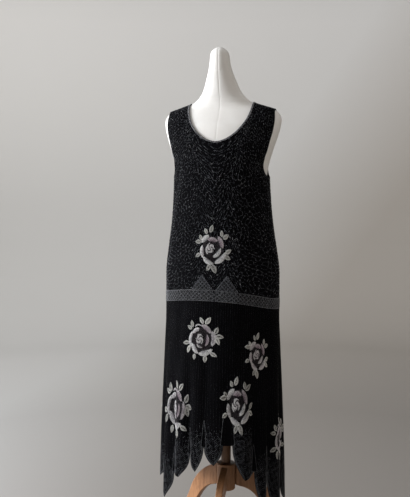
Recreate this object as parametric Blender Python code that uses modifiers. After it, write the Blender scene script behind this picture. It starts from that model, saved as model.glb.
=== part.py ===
"""Beaded drop-waist dress on a limbless dress form with a wooden tripod stand.

Metres, +Z up, the front faces -Y. The origin is on the floor, in the middle of the
footprint. The cloth is a thin wall over measured sections: a bodice front and back,
a waistband with two peaks on each side, and a skirt front and back that hang in
flutes and end in a ring of pointed petals.
"""

import math
from collections import namedtuple

import bpy
from mathutils import Vector

OBJECT_NAME = "beaded_dress"

# Stand, measured from the pole's axis
FOOT_REACH = 0.285
HUB_RADIUS = 0.031
HUB_BOTTOM = 0.261
HUB_TOP = 0.349
POLE_RADIUS = 0.016
LEG_THICKNESS = 0.022
LEG_TURNS = (("leg_front", 0.0), ("leg_right", 120.0), ("leg_left", 240.0))

# Where the pole stands, so that the footprint is centred on the origin
POLE_Y = 0.0665
# The form leans a little off the pole
BODY_X = -0.009
BODY_Y = POLE_Y - 0.020

# Clearances
SEAM_GAP = 0.0003
EDGE_GAP = 0.0006
FORM_CLEARANCE = 0.0014
SHOULDER_LIFT = 0.0012
SKIRT_SEAM_GAP = 0.0009

# Cloth
CLOTH = 0.0016
BAND_CLOTH = 0.0024
SQUARENESS = 2.2

# Bodice
NECK_HALF = 0.106
NECK_SCOOP = 0.9
NECK_FRONT_LOW = 1.393
NECK_BACK_LOW = 1.481
SHOULDER_HALF = 0.167
ARMHOLE_LOW = 1.284
SHOULDER_BEND = 0.555
OUTER_COLUMNS = 6
COLUMNS_BESIDE_PEAK = 5
ROWS_TO_ARMHOLE = 8
ROWS_TO_BEND = 5
ROWS_TO_SHOULDER = 7

# Waistband and its peaks
BAND_TOP = 0.916
BAND_HEIGHT = 0.0345
BAND_FRONT_RISE = 0.023
BAND_SIDE_DROP = 0.009
PEAK_HEIGHT = 0.048
PEAK_INNER = 0.004
PEAK_APEX = 0.040
PEAK_OUTER = 0.074

# Skirt
SKIRT_ROWS = 11
FLUTE_TOP = 0.80
FLUTE_FULL = 0.43
FLUTE_SHARPNESS = 1.5
PETAL_STEPS = (0.0, 0.45, 0.82, 1.0)

# Edgings: width over the cloth's edge, and how far they stand in and out
NECK_EDGING = 0.0055
ARM_EDGING = 0.0040
EDGING_INSIDE = -0.0002
EDGING_OUTSIDE = 0.0026

# Form
FORM_SIDES = 36
FORM_RING_STEP = 0.036

Section = namedtuple("Section", "z half_width front back")
Edge = namedtuple("Edge", "z half_width")
Petal = namedtuple("Petal", "angle tip half_angle notch fold")
Column = namedtuple("Column", "x top_x share")

# Sections of the form: half its width, and how far it reaches forwards and back
FORM = [
    Section(0.930, 0.1460, 0.0960, 0.0940),
    Section(0.945, 0.1550, 0.1030, 0.1020),
    Section(0.990, 0.1620, 0.1070, 0.1100),
    Section(1.050, 0.1500, 0.1000, 0.1020),
    Section(1.120, 0.1210, 0.0860, 0.0790),
    Section(1.190, 0.1270, 0.0940, 0.0800),
    Section(1.260, 0.1400, 0.1090, 0.0870),
    Section(1.320, 0.1490, 0.1180, 0.0930),
    Section(1.376, 0.1640, 0.1130, 0.0960),
    Section(1.415, 0.1770, 0.1020, 0.0960),
    Section(1.450, 0.1870, 0.0870, 0.0900),
    Section(1.4725, 0.1900, 0.0680, 0.0780),
    Section(1.4885, 0.1850, 0.0570, 0.0700),
    Section(1.5005, 0.1735, 0.0490, 0.0630),
    Section(1.5125, 0.1395, 0.0430, 0.0570),
    Section(1.5235, 0.1065, 0.0420, 0.0530),
    Section(1.5385, 0.0830, 0.0450, 0.0490),
    Section(1.5565, 0.0660, 0.0520, 0.0430),
    Section(1.5745, 0.0565, 0.0580, 0.0360),
    Section(1.6010, 0.0460, 0.0670, 0.0200),
    Section(1.6405, 0.0338, 0.0740, -0.0020),
    Section(1.6770, 0.0285, 0.0755, -0.0130),
    Section(1.6900, 0.0190, 0.0650, -0.0230),
    Section(1.6970, 0.0060, 0.0500, -0.0380),
]

# Sections of the hanging cloth, on its inner face
DRAPE = [
    Section(0.200, 0.2050, 0.1720, 0.1720),
    Section(0.330, 0.2030, 0.1680, 0.1680),
    Section(0.450, 0.2000, 0.1620, 0.1620),
    Section(0.600, 0.1940, 0.1500, 0.1520),
    Section(0.750, 0.1870, 0.1390, 0.1410),
    Section(0.850, 0.1830, 0.1310, 0.1330),
    Section(0.920, 0.1830, 0.1270, 0.1300),
    Section(0.985, 0.1830, 0.1240, 0.1270),
    Section(1.064, 0.1740, 0.1200, 0.1170),
    Section(1.143, 0.1630, 0.1180, 0.1070),
    Section(1.220, 0.1560, 0.1180, 0.1000),
    Section(1.300, 0.1525, 0.1195, 0.0960),
    Section(1.340, 0.1565, 0.1185, 0.0965),
    Section(1.376, 0.1500, 0.1130, 0.0960),
]

# The armhole's edge, seen from the front
ARMHOLE = [
    Edge(1.284, 0.1530),
    Edge(1.302, 0.1425),
    Edge(1.322, 0.1390),
    Edge(1.348, 0.1425),
    Edge(1.372, 0.1500),
    Edge(1.400, 0.1570),
    Edge(1.445, 0.1675),
    Edge(1.480, 0.1715),
    Edge(1.502, 0.1670),
]

# Hem petals from the left side seam round the front to the right and round the back.
# Angles are in degrees from the front towards +X, fold is the depth of the valley
# after the petal, and notch is the height of the hem there.
FRONT_PETALS = [
    Petal(-74.0, 0.315, 9.2, 0.350, 0.012),
    Petal(-53.5, 0.265, 11.0, 0.352, 0.014),
    Petal(-31.0, 0.349, 10.0, 0.423, 0.013),
    Petal(-13.4, 0.376, 7.0, 0.453, 0.004),
    Petal(1.2, 0.400, 7.4, 0.462, 0.008),
    Petal(28.0, 0.355, 11.2, 0.377, 0.014),
    Petal(47.0, 0.255, 7.4, 0.365, 0.015),
    Petal(70.6, 0.224, 14.2, 0.290, 0.012),
]
BACK_PETALS = [
    Petal(96.0, 0.235, 9.5, 0.395, 0.012),
    Petal(115.0, 0.265, 9.0, 0.410, 0.015),
    Petal(134.0, 0.305, 9.0, 0.430, 0.010),
    Petal(153.0, 0.345, 9.0, 0.445, 0.008),
    Petal(172.0, 0.375, 9.0, 0.455, 0.005),
    Petal(191.0, 0.370, 9.0, 0.450, 0.009),
    Petal(210.0, 0.340, 9.0, 0.435, 0.013),
    Petal(229.0, 0.300, 9.0, 0.415, 0.015),
    Petal(248.0, 0.285, 9.0, 0.400, 0.012),
    Petal(267.0, 0.302, 9.0, 0.390, 0.010),
]
RIGHT_SEAM = 85.0
LEFT_SEAM = 276.5

# Corners of a leg's arched outline, as (reach from the pole's axis, height)
LEG_UPPER = [(0.0314, 0.342), (0.093, 0.309), (0.139, 0.259), (0.168, 0.198), (0.272, 0.012)]
LEG_LOWER = [(0.249, 0.0), (0.128, 0.191), (0.104, 0.226), (0.074, 0.253), (0.0314, 0.271)]
LEG_CURVE_STEPS = 5

ROUND_SIDES = 24
POLE_BEVEL = 0.001
HUB_BEVEL = 0.003
SMOOTH_UNDER = math.radians(40)
SURFACE_STEP = 0.0004

Finish = namedtuple("Finish", "colour roughness metallic")
BEADED_BLACK = Finish((0.012, 0.012, 0.014), 0.42, 0.0)
SILVER_BEADS = Finish((0.180, 0.180, 0.200), 0.38, 0.3)
BLACK_EDGING = Finish((0.020, 0.020, 0.020), 0.40, 0.0)
JERSEY = Finish((0.780, 0.770, 0.750), 0.85, 0.0)
BROWN_POLE = Finish((0.240, 0.130, 0.070), 0.45, 0.0)
BEECH = Finish((0.660, 0.450, 0.250), 0.45, 0.0)

# Sections


def slopes(heights, values):
    """Slope at each row, limited so that the curve never overshoots a row."""
    steps = [
        (values[i + 1] - values[i]) / (heights[i + 1] - heights[i])
        for i in range(len(values) - 1)
    ]
    inner = [
        2 * a * b / (a + b) if a * b > 0 else 0.0 for a, b in zip(steps, steps[1:])
    ]
    return [steps[0]] + inner + [steps[-1]]


def smooth_value(heights, values, z):
    """The value at height z on a smooth curve through the rows."""
    z = min(max(z, heights[0]), heights[-1])
    i = max(k for k in range(len(heights) - 1) if heights[k] <= z)
    width = heights[i + 1] - heights[i]
    t = (z - heights[i]) / width
    slope = slopes(heights, values)
    return (
        values[i] * (1 + 2 * t) * (1 - t) ** 2
        + values[i + 1] * t * t * (3 - 2 * t)
        + width * slope[i] * t * (1 - t) ** 2
        - width * slope[i + 1] * t * t * (1 - t)
    )


def row_at(table, z):
    """A row of the table's own kind at any height."""
    heights = [row.z for row in table]
    columns = list(zip(*table))[1:]
    return type(table[0])(z, *(smooth_value(heights, column, z) for column in columns))


def form_section(z):
    return row_at(FORM, z)


def dress_section(z):
    """The cloth hangs from its own sections, and lies on the form where that is wider."""
    hang = row_at(DRAPE, z)
    if z < ARMHOLE_LOW:
        return hang
    form = row_at(FORM, z - SHOULDER_LIFT)
    if z > DRAPE[-1].z:
        hang = form
    return Section(
        z,
        max(hang.half_width, form.half_width + FORM_CLEARANCE),
        max(hang.front, form.front + FORM_CLEARANCE),
        max(hang.back, form.back + FORM_CLEARANCE),
    )


def centre_and_depth(section):
    return (section.back - section.front) / 2, (section.back + section.front) / 2


def point_at_angle(section, angle):
    """A point of the section, at an angle in radians from the front towards +X."""
    centre, depth = centre_and_depth(section)
    power = 2 / SQUARENESS
    across = math.copysign(abs(math.sin(angle)) ** power, math.sin(angle))
    along = math.copysign(abs(math.cos(angle)) ** power, math.cos(angle))
    return Vector(
        (BODY_X + section.half_width * across, BODY_Y + centre - depth * along, section.z)
    )


def angle_of(section, x):
    share = min(abs(x) / section.half_width, 1.0)
    return math.copysign(math.asin(share ** (SQUARENESS / 2)), x)


def point_at_x(section, x, facing):
    """A point of the section by its x. Facing is -1 on the front and 1 on the back."""
    angle = angle_of(section, x)
    return point_at_angle(section, angle if facing < 0 else math.pi - angle)


def surface_level(point):
    """Below zero inside the cloth's inner face, and above zero outside it."""
    section = dress_section(point.z)
    centre, depth = centre_and_depth(section)
    across = abs((point.x - BODY_X) / section.half_width)
    along = abs((point.y - BODY_Y - centre) / depth)
    return across**SQUARENESS + along**SQUARENESS - 1


def level_slope(point):
    """How fast the level rises along X, Y and Z."""
    sides = [Vector(row) * SURFACE_STEP for row in ((1, 0, 0), (0, 1, 0), (0, 0, 1))]
    return Vector(
        (surface_level(point + side) - surface_level(point - side)) / (2 * SURFACE_STEP)
        for side in sides
    )


def outward(point):
    """The direction that leads straight out of the cloth's inner face."""
    return level_slope(point).normalized()


# Bodice


def ridge_height(x):
    """The height at which the shoulder line passes x, found by halving."""
    low, high = 1.48, 1.55
    for _ in range(40):
        middle = (low + high) / 2
        if dress_section(middle).half_width > abs(x):
            low = middle
        else:
            high = middle
    return low


def inner_columns():
    """Columns under the neck opening, on the peaks' corners below, closer where it is steep."""
    low = [
        0.0,
        PEAK_INNER,
        (PEAK_INNER + PEAK_APEX) / 2,
        PEAK_APEX,
        (PEAK_APEX + PEAK_OUTER) / 2,
    ]
    beside = (NECK_HALF - PEAK_OUTER) / COLUMNS_BESIDE_PEAK
    low += [PEAK_OUTER + beside * i for i in range(COLUMNS_BESIDE_PEAK + 1)]
    columns = []
    for i, x in enumerate(low):
        left_over = 1 - i / (len(low) - 1)
        turn = math.pi / 2 * (1 - left_over**2)
        columns.append(Column(x, NECK_HALF * math.sin(turn), None))
    return columns


def outer_columns():
    """Columns from beside the neck to the armhole. Share is how far over each one is."""
    shares = [k / OUTER_COLUMNS for k in range(1, OUTER_COLUMNS + 1)]
    reach = SHOULDER_HALF - NECK_HALF
    return [Column(NECK_HALF, NECK_HALF + share * reach, share) for share in shares]


def all_columns():
    right = inner_columns() + outer_columns()
    left = [Column(-c.x, -c.top_x, c.share) for c in reversed(right[1:])]
    return left + right


def neckline(x, low):
    """The height of the neck opening's edge at x."""
    ratio = min(abs(x) / NECK_HALF, 1.0)
    rise = (1 - math.sqrt(1 - ratio * ratio)) ** NECK_SCOOP
    return low + (ridge_height(NECK_HALF) - low) * rise


def band_line(angle):
    """The waistband's top edge without its peaks."""
    rise = BAND_FRONT_RISE * max(math.cos(angle), 0.0) ** 2
    return BAND_TOP + rise - BAND_SIDE_DROP * math.sin(angle)


def peak(x):
    """How far a peak stands over the waistband's top edge at x."""
    x = abs(x)
    if x < PEAK_APEX:
        share = (x - PEAK_INNER) / (PEAK_APEX - PEAK_INNER)
    else:
        share = (PEAK_OUTER - x) / (PEAK_OUTER - PEAK_APEX)
    return PEAK_HEIGHT * max(share, 0.0)


def column_angle(column, z):
    """The column's ring angle at a height below the shoulder's bend."""
    section = dress_section(z)
    angle = angle_of(section, column.x)
    if column.share is None:
        return angle
    side = math.copysign(math.pi / 2, column.x)
    if z > ARMHOLE_LOW:
        edge = math.copysign(row_at(ARMHOLE, z).half_width, column.x)
        side = angle_of(section, edge)
    return angle + column.share * (side - angle)


def band_point_angle(column, facing):
    """The column's angle at the waistband, counted from the front towards +X."""
    angle = column_angle(column, BAND_TOP)
    return angle if facing < 0 else math.pi - angle


def peak_over(column):
    return peak(column.x) if column.share is None else 0.0


def column_top(column, facing):
    """The height where the column ends, on the neckline or on the shoulder line."""
    if column.share is None:
        low = NECK_FRONT_LOW if facing < 0 else NECK_BACK_LOW
        return neckline(column.top_x, low)
    return ridge_height(column.top_x)


def bend_height(top):
    return ARMHOLE_LOW + SHOULDER_BEND * (top - ARMHOLE_LOW)


def bodice_heights(column, facing):
    """The heights of the column's points, closer together over the shoulder."""
    low = band_line(band_point_angle(column, facing)) + peak_over(column) + EDGE_GAP
    top = column_top(column, facing)
    bend = bend_height(top)
    to_armhole = [
        low + (ARMHOLE_LOW - low) * i / ROWS_TO_ARMHOLE for i in range(ROWS_TO_ARMHOLE)
    ]
    to_bend = [
        ARMHOLE_LOW + (bend - ARMHOLE_LOW) * i / ROWS_TO_BEND for i in range(ROWS_TO_BEND)
    ]
    to_top = [
        top - (top - bend) * (1 - i / ROWS_TO_SHOULDER) ** 2
        for i in range(ROWS_TO_SHOULDER + 1)
    ]
    return to_armhole + to_bend + to_top


def column_x(column, z, top):
    """The column's x at height z, led over to its place on the neckline or the shoulder."""
    x = point_at_angle(dress_section(z), column_angle(column, z)).x - BODY_X
    start, power = (ARMHOLE_LOW, 1) if column.share is None else (bend_height(top), 2)
    if z <= start:
        return x
    return x + (column.top_x - x) * ((z - start) / (top - start)) ** power


def cloth_point(x, z, facing):
    """A point on the cloth's inner face, half a seam's gap off the side seam's plane."""
    point = point_at_x(dress_section(z), x, facing)
    point.y += facing * SEAM_GAP / 2
    return point


def bodice_column(column, facing):
    """The column's points from the waistband to the neckline or the shoulder."""
    top = column_top(column, facing)
    heights = bodice_heights(column, facing)
    return [cloth_point(column_x(column, z, top), z, facing) for z in heights]


def bodice_panel(facing):
    return [bodice_column(column, facing) for column in all_columns()]


def band_column(column, facing):
    """The waistband's points: its lower edge, its upper edge and the side of its peak."""
    line = band_line(band_point_angle(column, facing))
    heights = [line - BAND_HEIGHT, line - BAND_HEIGHT / 2, line]
    if peak_over(column) > 0:
        heights.append(line + peak_over(column))
    return [cloth_point(column_x(column, z, NECK_FRONT_LOW), z, facing) for z in heights]


def band_panel(facing):
    return [band_column(column, facing) for column in all_columns()]


# Skirt


def smooth_step(t):
    t = min(max(t, 0.0), 1.0)
    return t * t * (3 - 2 * t)


def hem_columns(petals, start, end, before):
    """(angle, hem height) of each column, with one on every tip and notch."""
    columns = [(start, before.notch)]
    notch = before.notch
    for petal in petals:
        for step in reversed(PETAL_STEPS):
            height = petal_height(petal, notch, step)
            columns.append((petal.angle - step * petal.half_angle, height))
        for step in PETAL_STEPS[1:]:
            height = petal_height(petal, petal.notch, step)
            columns.append((petal.angle + step * petal.half_angle, height))
        notch = petal.notch
    columns.append((end, petals[-1].notch))
    return columns


def petal_height(petal, notch, step):
    """A petal's side is a pointed arch upside down: step is 0 at its tip and 1 at the notch."""
    return petal.tip + (notch - petal.tip) * (1 - math.sqrt(1 - step))


def folds():
    """(angle, half width, depth) of each valley of the skirt, between two petals."""
    petals = FRONT_PETALS + BACK_PETALS
    valleys = []
    for i, petal in enumerate(petals):
        after = petals[(i + 1) % len(petals)]
        span = (after.angle - petal.angle) % 360
        valleys.append((petal.angle + span / 2, span / 2, petal.fold))
    return valleys


def flute_depth(angle, z):
    """How far the cloth falls inwards at an angle in degrees, growing towards the hem."""
    growth = smooth_step((FLUTE_TOP - z) / (FLUTE_TOP - FLUTE_FULL))
    for valley, half_width, depth in folds():
        off = abs((angle - valley + 180) % 360 - 180) / half_width
        if off < 1:
            wave = (0.5 + 0.5 * math.cos(math.pi * off)) ** FLUTE_SHARPNESS
            return depth * growth * wave
    return 0.0


def skirt_point(angle, z):
    section = dress_section(z)
    point = point_at_angle(section, math.radians(angle))
    away = Vector((point.x - BODY_X, point.y - BODY_Y, 0)).normalized()
    return point - away * flute_depth(angle, z)


def skirt_panel(petals, start, end, before):
    panel = []
    for angle, hem in hem_columns(petals, start, end, before):
        top = band_line(math.radians(angle)) - BAND_HEIGHT - EDGE_GAP
        heights = [hem + (top - hem) * i / SKIRT_ROWS for i in range(SKIRT_ROWS + 1)]
        panel.append([skirt_point(angle, z) for z in heights])
    return panel


# Edgings


def neck_loop():
    """The cloth's edge round the neck opening, counter-clockwise from above."""
    columns = [column for column in all_columns() if column.share is None]
    front = [bodice_column(column, -1)[-1] for column in columns]
    back = [bodice_column(column, 1)[-1] for column in reversed(columns)]
    return front + back[1:-1]


def armhole_loop(side):
    """The cloth's edge round an armhole, up the front and down the back."""
    column = Column(side * NECK_HALF, side * SHOULDER_HALF, 1.0)
    front = bodice_column(column, -1)[ROWS_TO_ARMHOLE:]
    back = bodice_column(column, 1)[ROWS_TO_ARMHOLE:]
    return front + back[-2:0:-1]


def edging_section(width):
    """Corners of an edging: (over the edge, out of the cloth)."""
    return [
        (SEAM_GAP, EDGING_INSIDE),
        (SEAM_GAP, CLOTH),
        (SEAM_GAP + 0.25 * width, EDGING_OUTSIDE),
        (SEAM_GAP + 0.75 * width, EDGING_OUTSIDE),
        (SEAM_GAP + width, CLOTH),
        (SEAM_GAP + width, EDGING_INSIDE),
    ]


def beside(point, height):
    """The place at a height over the cloth's inner face, straight out from near the point."""
    for _ in range(4):
        slope = level_slope(point)
        point = point - slope * (surface_level(point) / slope.length_squared)
    return point + outward(point) * height


def edging_rings(loop, width, turn):
    """The edging's corners at each point of the loop. Turn is 1 or -1, for its open side."""
    rings = []
    for i, point in enumerate(loop):
        along = (loop[(i + 1) % len(loop)] - loop[i - 1]).normalized()
        out = outward(point)
        over = turn * along.cross(out).normalized()
        rings.append([beside(point + over * a, b) for a, b in edging_section(width)])
    return rings


# Objects


def material(name, finish):
    made = bpy.data.materials.new(name)
    made.use_nodes = True
    shader = made.node_tree.nodes["Principled BSDF"]
    shader.inputs["Base Color"].default_value = (*finish.colour, 1.0)
    shader.inputs["Roughness"].default_value = finish.roughness
    shader.inputs["Metallic"].default_value = finish.metallic
    return made


def add_object(collection, name, data, finish):
    made = bpy.data.objects.new(name, data)
    made.data.materials.append(material(name, finish))
    collection.objects.link(made)
    return made


def mesh_object(collection, name, points, faces, finish):
    mesh = bpy.data.meshes.new(name)
    mesh.from_pydata([tuple(point) for point in points], [], faces)
    mesh.shade_smooth()
    mesh.set_sharp_from_angle(angle=SMOOTH_UNDER)
    return add_object(collection, name, mesh, finish)


def cloth_object(collection, name, panel, thickness, finish):
    """An open sheet over a panel's columns, given its thickness outwards by Solidify."""
    points = [point for column in panel for point in column]
    starts = [sum(len(column) for column in panel[:j]) for j in range(len(panel))]
    faces = []
    for j in range(len(panel) - 1):
        shared = min(len(panel[j]), len(panel[j + 1]))
        for i in range(shared - 1):
            a, b = starts[j] + i, starts[j + 1] + i
            faces.append((a, b, b + 1, a + 1))
        a, b = starts[j] + shared - 1, starts[j + 1] + shared - 1
        if len(panel[j + 1]) > shared:
            faces.append((a, b, b + 1))
        elif len(panel[j]) > shared:
            faces.append((a, b, a + 1))
    made = mesh_object(collection, name, points, faces, finish)
    wall = made.modifiers.new("wall", "SOLIDIFY")
    wall.thickness = thickness
    wall.offset = 1.0
    return made


def lined_object(collection, name, panel, thickness, finish):
    """A wall over columns of equal length, moved straight out from the form's own curve."""
    rows = len(panel[0])
    inner = [point for column in panel for point in column]
    outer = [point + outward(point) * thickness for point in inner]
    over = len(inner)
    faces = []
    for j in range(len(panel) - 1):
        for i in range(rows - 1):
            a, b = j * rows + i, (j + 1) * rows + i
            faces.append((over + a, over + b, over + b + 1, over + a + 1))
            faces.append((a + 1, b + 1, b, a))
    lower = [j * rows for j in range(len(panel))]
    upper = [start + rows - 1 for start in lower]
    last = lower[-1]
    border = lower + list(range(last + 1, last + rows)) + upper[-2::-1]
    border += list(range(rows - 2, 0, -1))
    for a, b in zip(border, border[1:] + border[:1]):
        faces.append((a, b, over + b, over + a))
    return mesh_object(collection, name, inner + outer, faces, finish)


def ring_faces(rings, closed):
    """Faces between neighbouring rings of the same number of points."""
    sides = len(rings[0])
    faces = []
    for i in range(len(rings) if closed else len(rings) - 1):
        low, high = i * sides, (i + 1) % len(rings) * sides
        for k in range(sides):
            after = (k + 1) % sides
            faces.append((low + k, low + after, high + after, high + k))
    return faces


def edging_object(collection, name, loop, width, turn, finish):
    rings = edging_rings(loop, width, turn)
    points = [point for ring in rings for point in ring]
    faces = ring_faces(rings, closed=True)
    if turn < 0:
        faces = [face[::-1] for face in faces]
    return mesh_object(collection, name, points, faces, finish)


def form_object(collection, finish):
    """The torso and neck as one smooth closed body."""
    heights = []
    for low, high in zip(FORM, FORM[1:]):
        heights.append(low.z)
        if high.z - low.z > FORM_RING_STEP:
            heights.append((low.z + high.z) / 2)
    heights.append(FORM[-1].z)
    rings = []
    for z in heights:
        section = form_section(z)
        turns = [2 * math.pi * k / FORM_SIDES for k in range(FORM_SIDES)]
        rings.append([point_at_angle(section, turn) for turn in turns])
    points = [point for ring in rings for point in ring]
    faces = ring_faces(rings, closed=False)
    faces.append(tuple(reversed(range(FORM_SIDES))))
    faces.append(tuple(range(len(points) - FORM_SIDES, len(points))))
    return mesh_object(collection, "form_torso", points, faces, finish)


def cylinder_object(collection, name, radius, low, high, bevel, finish):
    bpy.ops.mesh.primitive_cylinder_add(
        vertices=ROUND_SIDES,
        radius=radius,
        depth=high - low,
        location=(0, POLE_Y, (low + high) / 2),
    )
    made = bpy.context.object
    for owner in made.users_collection:
        owner.objects.unlink(made)
    collection.objects.link(made)
    made.name = name
    made.data.name = name
    made.data.materials.append(material(name, finish))
    made.data.shade_smooth()
    made.data.set_sharp_from_angle(angle=SMOOTH_UNDER)
    edge = made.modifiers.new("edge", "BEVEL")
    edge.width = bevel
    edge.segments = 2
    edge.limit_method = "ANGLE"
    return made


def leg_object(collection, name, turn, finish):
    """An arched board: a filled outline given half its thickness on each side."""
    outline = LEG_UPPER + [(FOOT_REACH, 0.0)] + LEG_LOWER
    curve = bpy.data.curves.new(name, "CURVE")
    curve.dimensions = "2D"
    curve.fill_mode = "BOTH"
    curve.extrude = LEG_THICKNESS / 2
    curve.resolution_u = LEG_CURVE_STEPS
    spline = curve.splines.new("BEZIER")
    spline.bezier_points.add(len(outline) - 1)
    spline.use_cyclic_u = True
    sharp = {outline[0], outline[-1], LEG_UPPER[-1], (FOOT_REACH, 0.0), LEG_LOWER[0]}
    for point, place in zip(spline.bezier_points, outline):
        point.co = (*place, 0)
        kind = "VECTOR" if place in sharp else "AUTO"
        point.handle_left_type = kind
        point.handle_right_type = kind
    made = add_object(collection, name, curve, finish)
    made.rotation_euler = (math.pi / 2, 0, math.radians(turn) - math.pi / 2)
    made.location = (0, POLE_Y, 0)
    return made


def outward_columns(panel, facing):
    """Columns in the order that makes their faces look outwards."""
    return panel if facing < 0 else panel[::-1]


def add_bodice_and_band(collection):
    for facing, side in ((-1, "front"), (1, "back")):
        bodice = outward_columns(bodice_panel(facing), facing)
        lined_object(collection, "bodice_" + side, bodice, CLOTH, BEADED_BLACK)
        band = outward_columns(band_panel(facing), facing)
        cloth_object(collection, "waistband_" + side, band, BAND_CLOTH, SILVER_BEADS)


def add_skirt(collection):
    seam = math.degrees(SKIRT_SEAM_GAP / 2 / DRAPE[0].half_width)
    front = skirt_panel(
        FRONT_PETALS, LEFT_SEAM - 360 + seam, RIGHT_SEAM - seam, BACK_PETALS[-1]
    )
    cloth_object(collection, "skirt_front", front, CLOTH, BEADED_BLACK)
    back = skirt_panel(BACK_PETALS, RIGHT_SEAM + seam, LEFT_SEAM - seam, FRONT_PETALS[-1])
    cloth_object(collection, "skirt_back", back, CLOTH, BEADED_BLACK)


def add_edgings(collection):
    edging_object(collection, "neck_edging", neck_loop(), NECK_EDGING, -1, SILVER_BEADS)
    for side, word in ((-1, "left"), (1, "right")):
        name = "armhole_edging_" + word
        edging_object(collection, name, armhole_loop(side), ARM_EDGING, side, BLACK_EDGING)


def add_form_and_stand(collection):
    form_object(collection, JERSEY)
    low, high = HUB_TOP + SEAM_GAP, FORM[0].z - SEAM_GAP
    cylinder_object(collection, "pole", POLE_RADIUS, low, high, POLE_BEVEL, BROWN_POLE)
    cylinder_object(collection, "hub", HUB_RADIUS, HUB_BOTTOM, HUB_TOP, HUB_BEVEL, BEECH)
    for name, turn in LEG_TURNS:
        leg_object(collection, name, turn, BEECH)


def main():
    for old in list(bpy.data.objects):
        bpy.data.objects.remove(old, do_unlink=True)
    collection = bpy.data.collections.new(OBJECT_NAME)
    bpy.context.scene.collection.children.link(collection)
    add_bodice_and_band(collection)
    add_skirt(collection)
    add_edgings(collection)
    add_form_and_stand(collection)


main()
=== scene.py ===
"""Looks of the beaded dress on its dress form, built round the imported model.

Metres, +Z up, the front faces -Y. Cloth shells follow the same measured sections as the
solids. The beads are small meshes on the cloth: winding lines on the bodice, upright
lines on the skirt, a lattice on the waistband, and roses with leaves.
"""

import math
from collections import namedtuple

import bmesh
import bpy
import numpy as np
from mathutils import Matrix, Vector

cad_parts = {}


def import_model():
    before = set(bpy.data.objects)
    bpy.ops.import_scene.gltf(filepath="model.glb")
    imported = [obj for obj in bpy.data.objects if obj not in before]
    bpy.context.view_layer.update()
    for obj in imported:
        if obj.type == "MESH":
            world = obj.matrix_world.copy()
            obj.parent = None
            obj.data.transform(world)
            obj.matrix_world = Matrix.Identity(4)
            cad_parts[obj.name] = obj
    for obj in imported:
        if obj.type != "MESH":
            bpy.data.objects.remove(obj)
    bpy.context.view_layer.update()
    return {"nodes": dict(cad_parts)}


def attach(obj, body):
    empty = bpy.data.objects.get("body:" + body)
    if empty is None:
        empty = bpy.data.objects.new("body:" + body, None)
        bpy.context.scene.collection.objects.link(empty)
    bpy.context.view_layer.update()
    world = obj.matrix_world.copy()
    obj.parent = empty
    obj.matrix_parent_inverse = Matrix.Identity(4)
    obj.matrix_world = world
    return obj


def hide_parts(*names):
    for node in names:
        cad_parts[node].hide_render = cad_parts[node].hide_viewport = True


# Camera, matched to the photograph
CAMERA_PLACE = (0.4695, -2.305, 1.200)
CAMERA_AZIMUTH = 11.5
CAMERA_PAN = 1.354
CAMERA_DOWN = 3.3
CAMERA_LENS = 53.6

# Stand, measured from the pole's axis
POLE_Y = 0.0665
LEG_NAMES = ("leg_front", "leg_right", "leg_left")
# The form leans a little off the pole
BODY_X = -0.009
BODY_Y = POLE_Y - 0.020

# Clearances and cloth, as the solids have them
EDGE_GAP = 0.0006
FORM_CLEARANCE = 0.0014
SHOULDER_LIFT = 0.0012
SQUARENESS = 2.2
CLOTH_INSIDE = 0.0002
CLOTH_OUTSIDE = 0.0013
BAND_OUTSIDE = 0.0017
SIDE_ANGLE = math.radians(89.93)

# Bodice
NECK_HALF = 0.106
NECK_SCOOP = 0.9
NECK_FRONT_LOW = 1.393
NECK_BACK_LOW = 1.481
SHOULDER_HALF = 0.167
ARMHOLE_LOW = 1.284
SHOULDER_BEND = 0.555
BODICE_COLUMNS = (26, 12)
BODICE_ROWS = (38, 14, 24)

# Waistband and its peaks
BAND_TOP = 0.916
BAND_HEIGHT = 0.0345
BAND_FRONT_RISE = 0.023
BAND_SIDE_DROP = 0.009
PEAK_HEIGHT = 0.048
PEAK_INNER = 0.004
PEAK_APEX = 0.040
PEAK_OUTER = 0.074

# Skirt
FLUTE_TOP = 0.80
FLUTE_FULL = 0.43
FLUTE_SHARPNESS = 1.5
SKIRT_COLUMNS = (0.0, 0.12, 0.25, 0.38, 0.5, 0.61, 0.71, 0.8, 0.88, 0.95, 1.0)
SKIRT_ROWS = 64


def records(kind, *rows):
    """One record of a kind for each row."""
    return [kind(*row) for row in rows]


Section = namedtuple("Section", "z half_width front back")
Edge = namedtuple("Edge", "z half_width")
Petal = namedtuple("Petal", "angle tip half_angle notch fold")
Crease = namedtuple("Crease", "angle z length width lean depth")

# Sections of the form: half its width, and how far it reaches forwards and back
FORM = records(
    Section,
    (0.93, 0.146, 0.096, 0.094), (0.945, 0.155, 0.103, 0.102), (0.99, 0.162, 0.107, 0.11),
    (1.05, 0.15, 0.1, 0.102), (1.12, 0.121, 0.086, 0.079), (1.19, 0.127, 0.094, 0.08),
    (1.26, 0.14, 0.109, 0.087), (1.32, 0.149, 0.118, 0.093), (1.376, 0.164, 0.113, 0.096),
    (1.415, 0.177, 0.102, 0.096), (1.45, 0.187, 0.087, 0.09), (1.4725, 0.19, 0.068, 0.078),
    (1.4885, 0.185, 0.057, 0.07), (1.5005, 0.1735, 0.049, 0.063), (1.5125, 0.1395, 0.043, 0.057),
    (1.5235, 0.1065, 0.042, 0.053), (1.5385, 0.083, 0.045, 0.049), (1.5565, 0.066, 0.052, 0.043),
    (1.5745, 0.0565, 0.058, 0.036), (1.601, 0.046, 0.067, 0.02), (1.6405, 0.0338, 0.074, -0.002),
    (1.677, 0.0285, 0.0755, -0.013), (1.69, 0.019, 0.065, -0.023), (1.697, 0.006, 0.05, -0.038),
)

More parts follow.
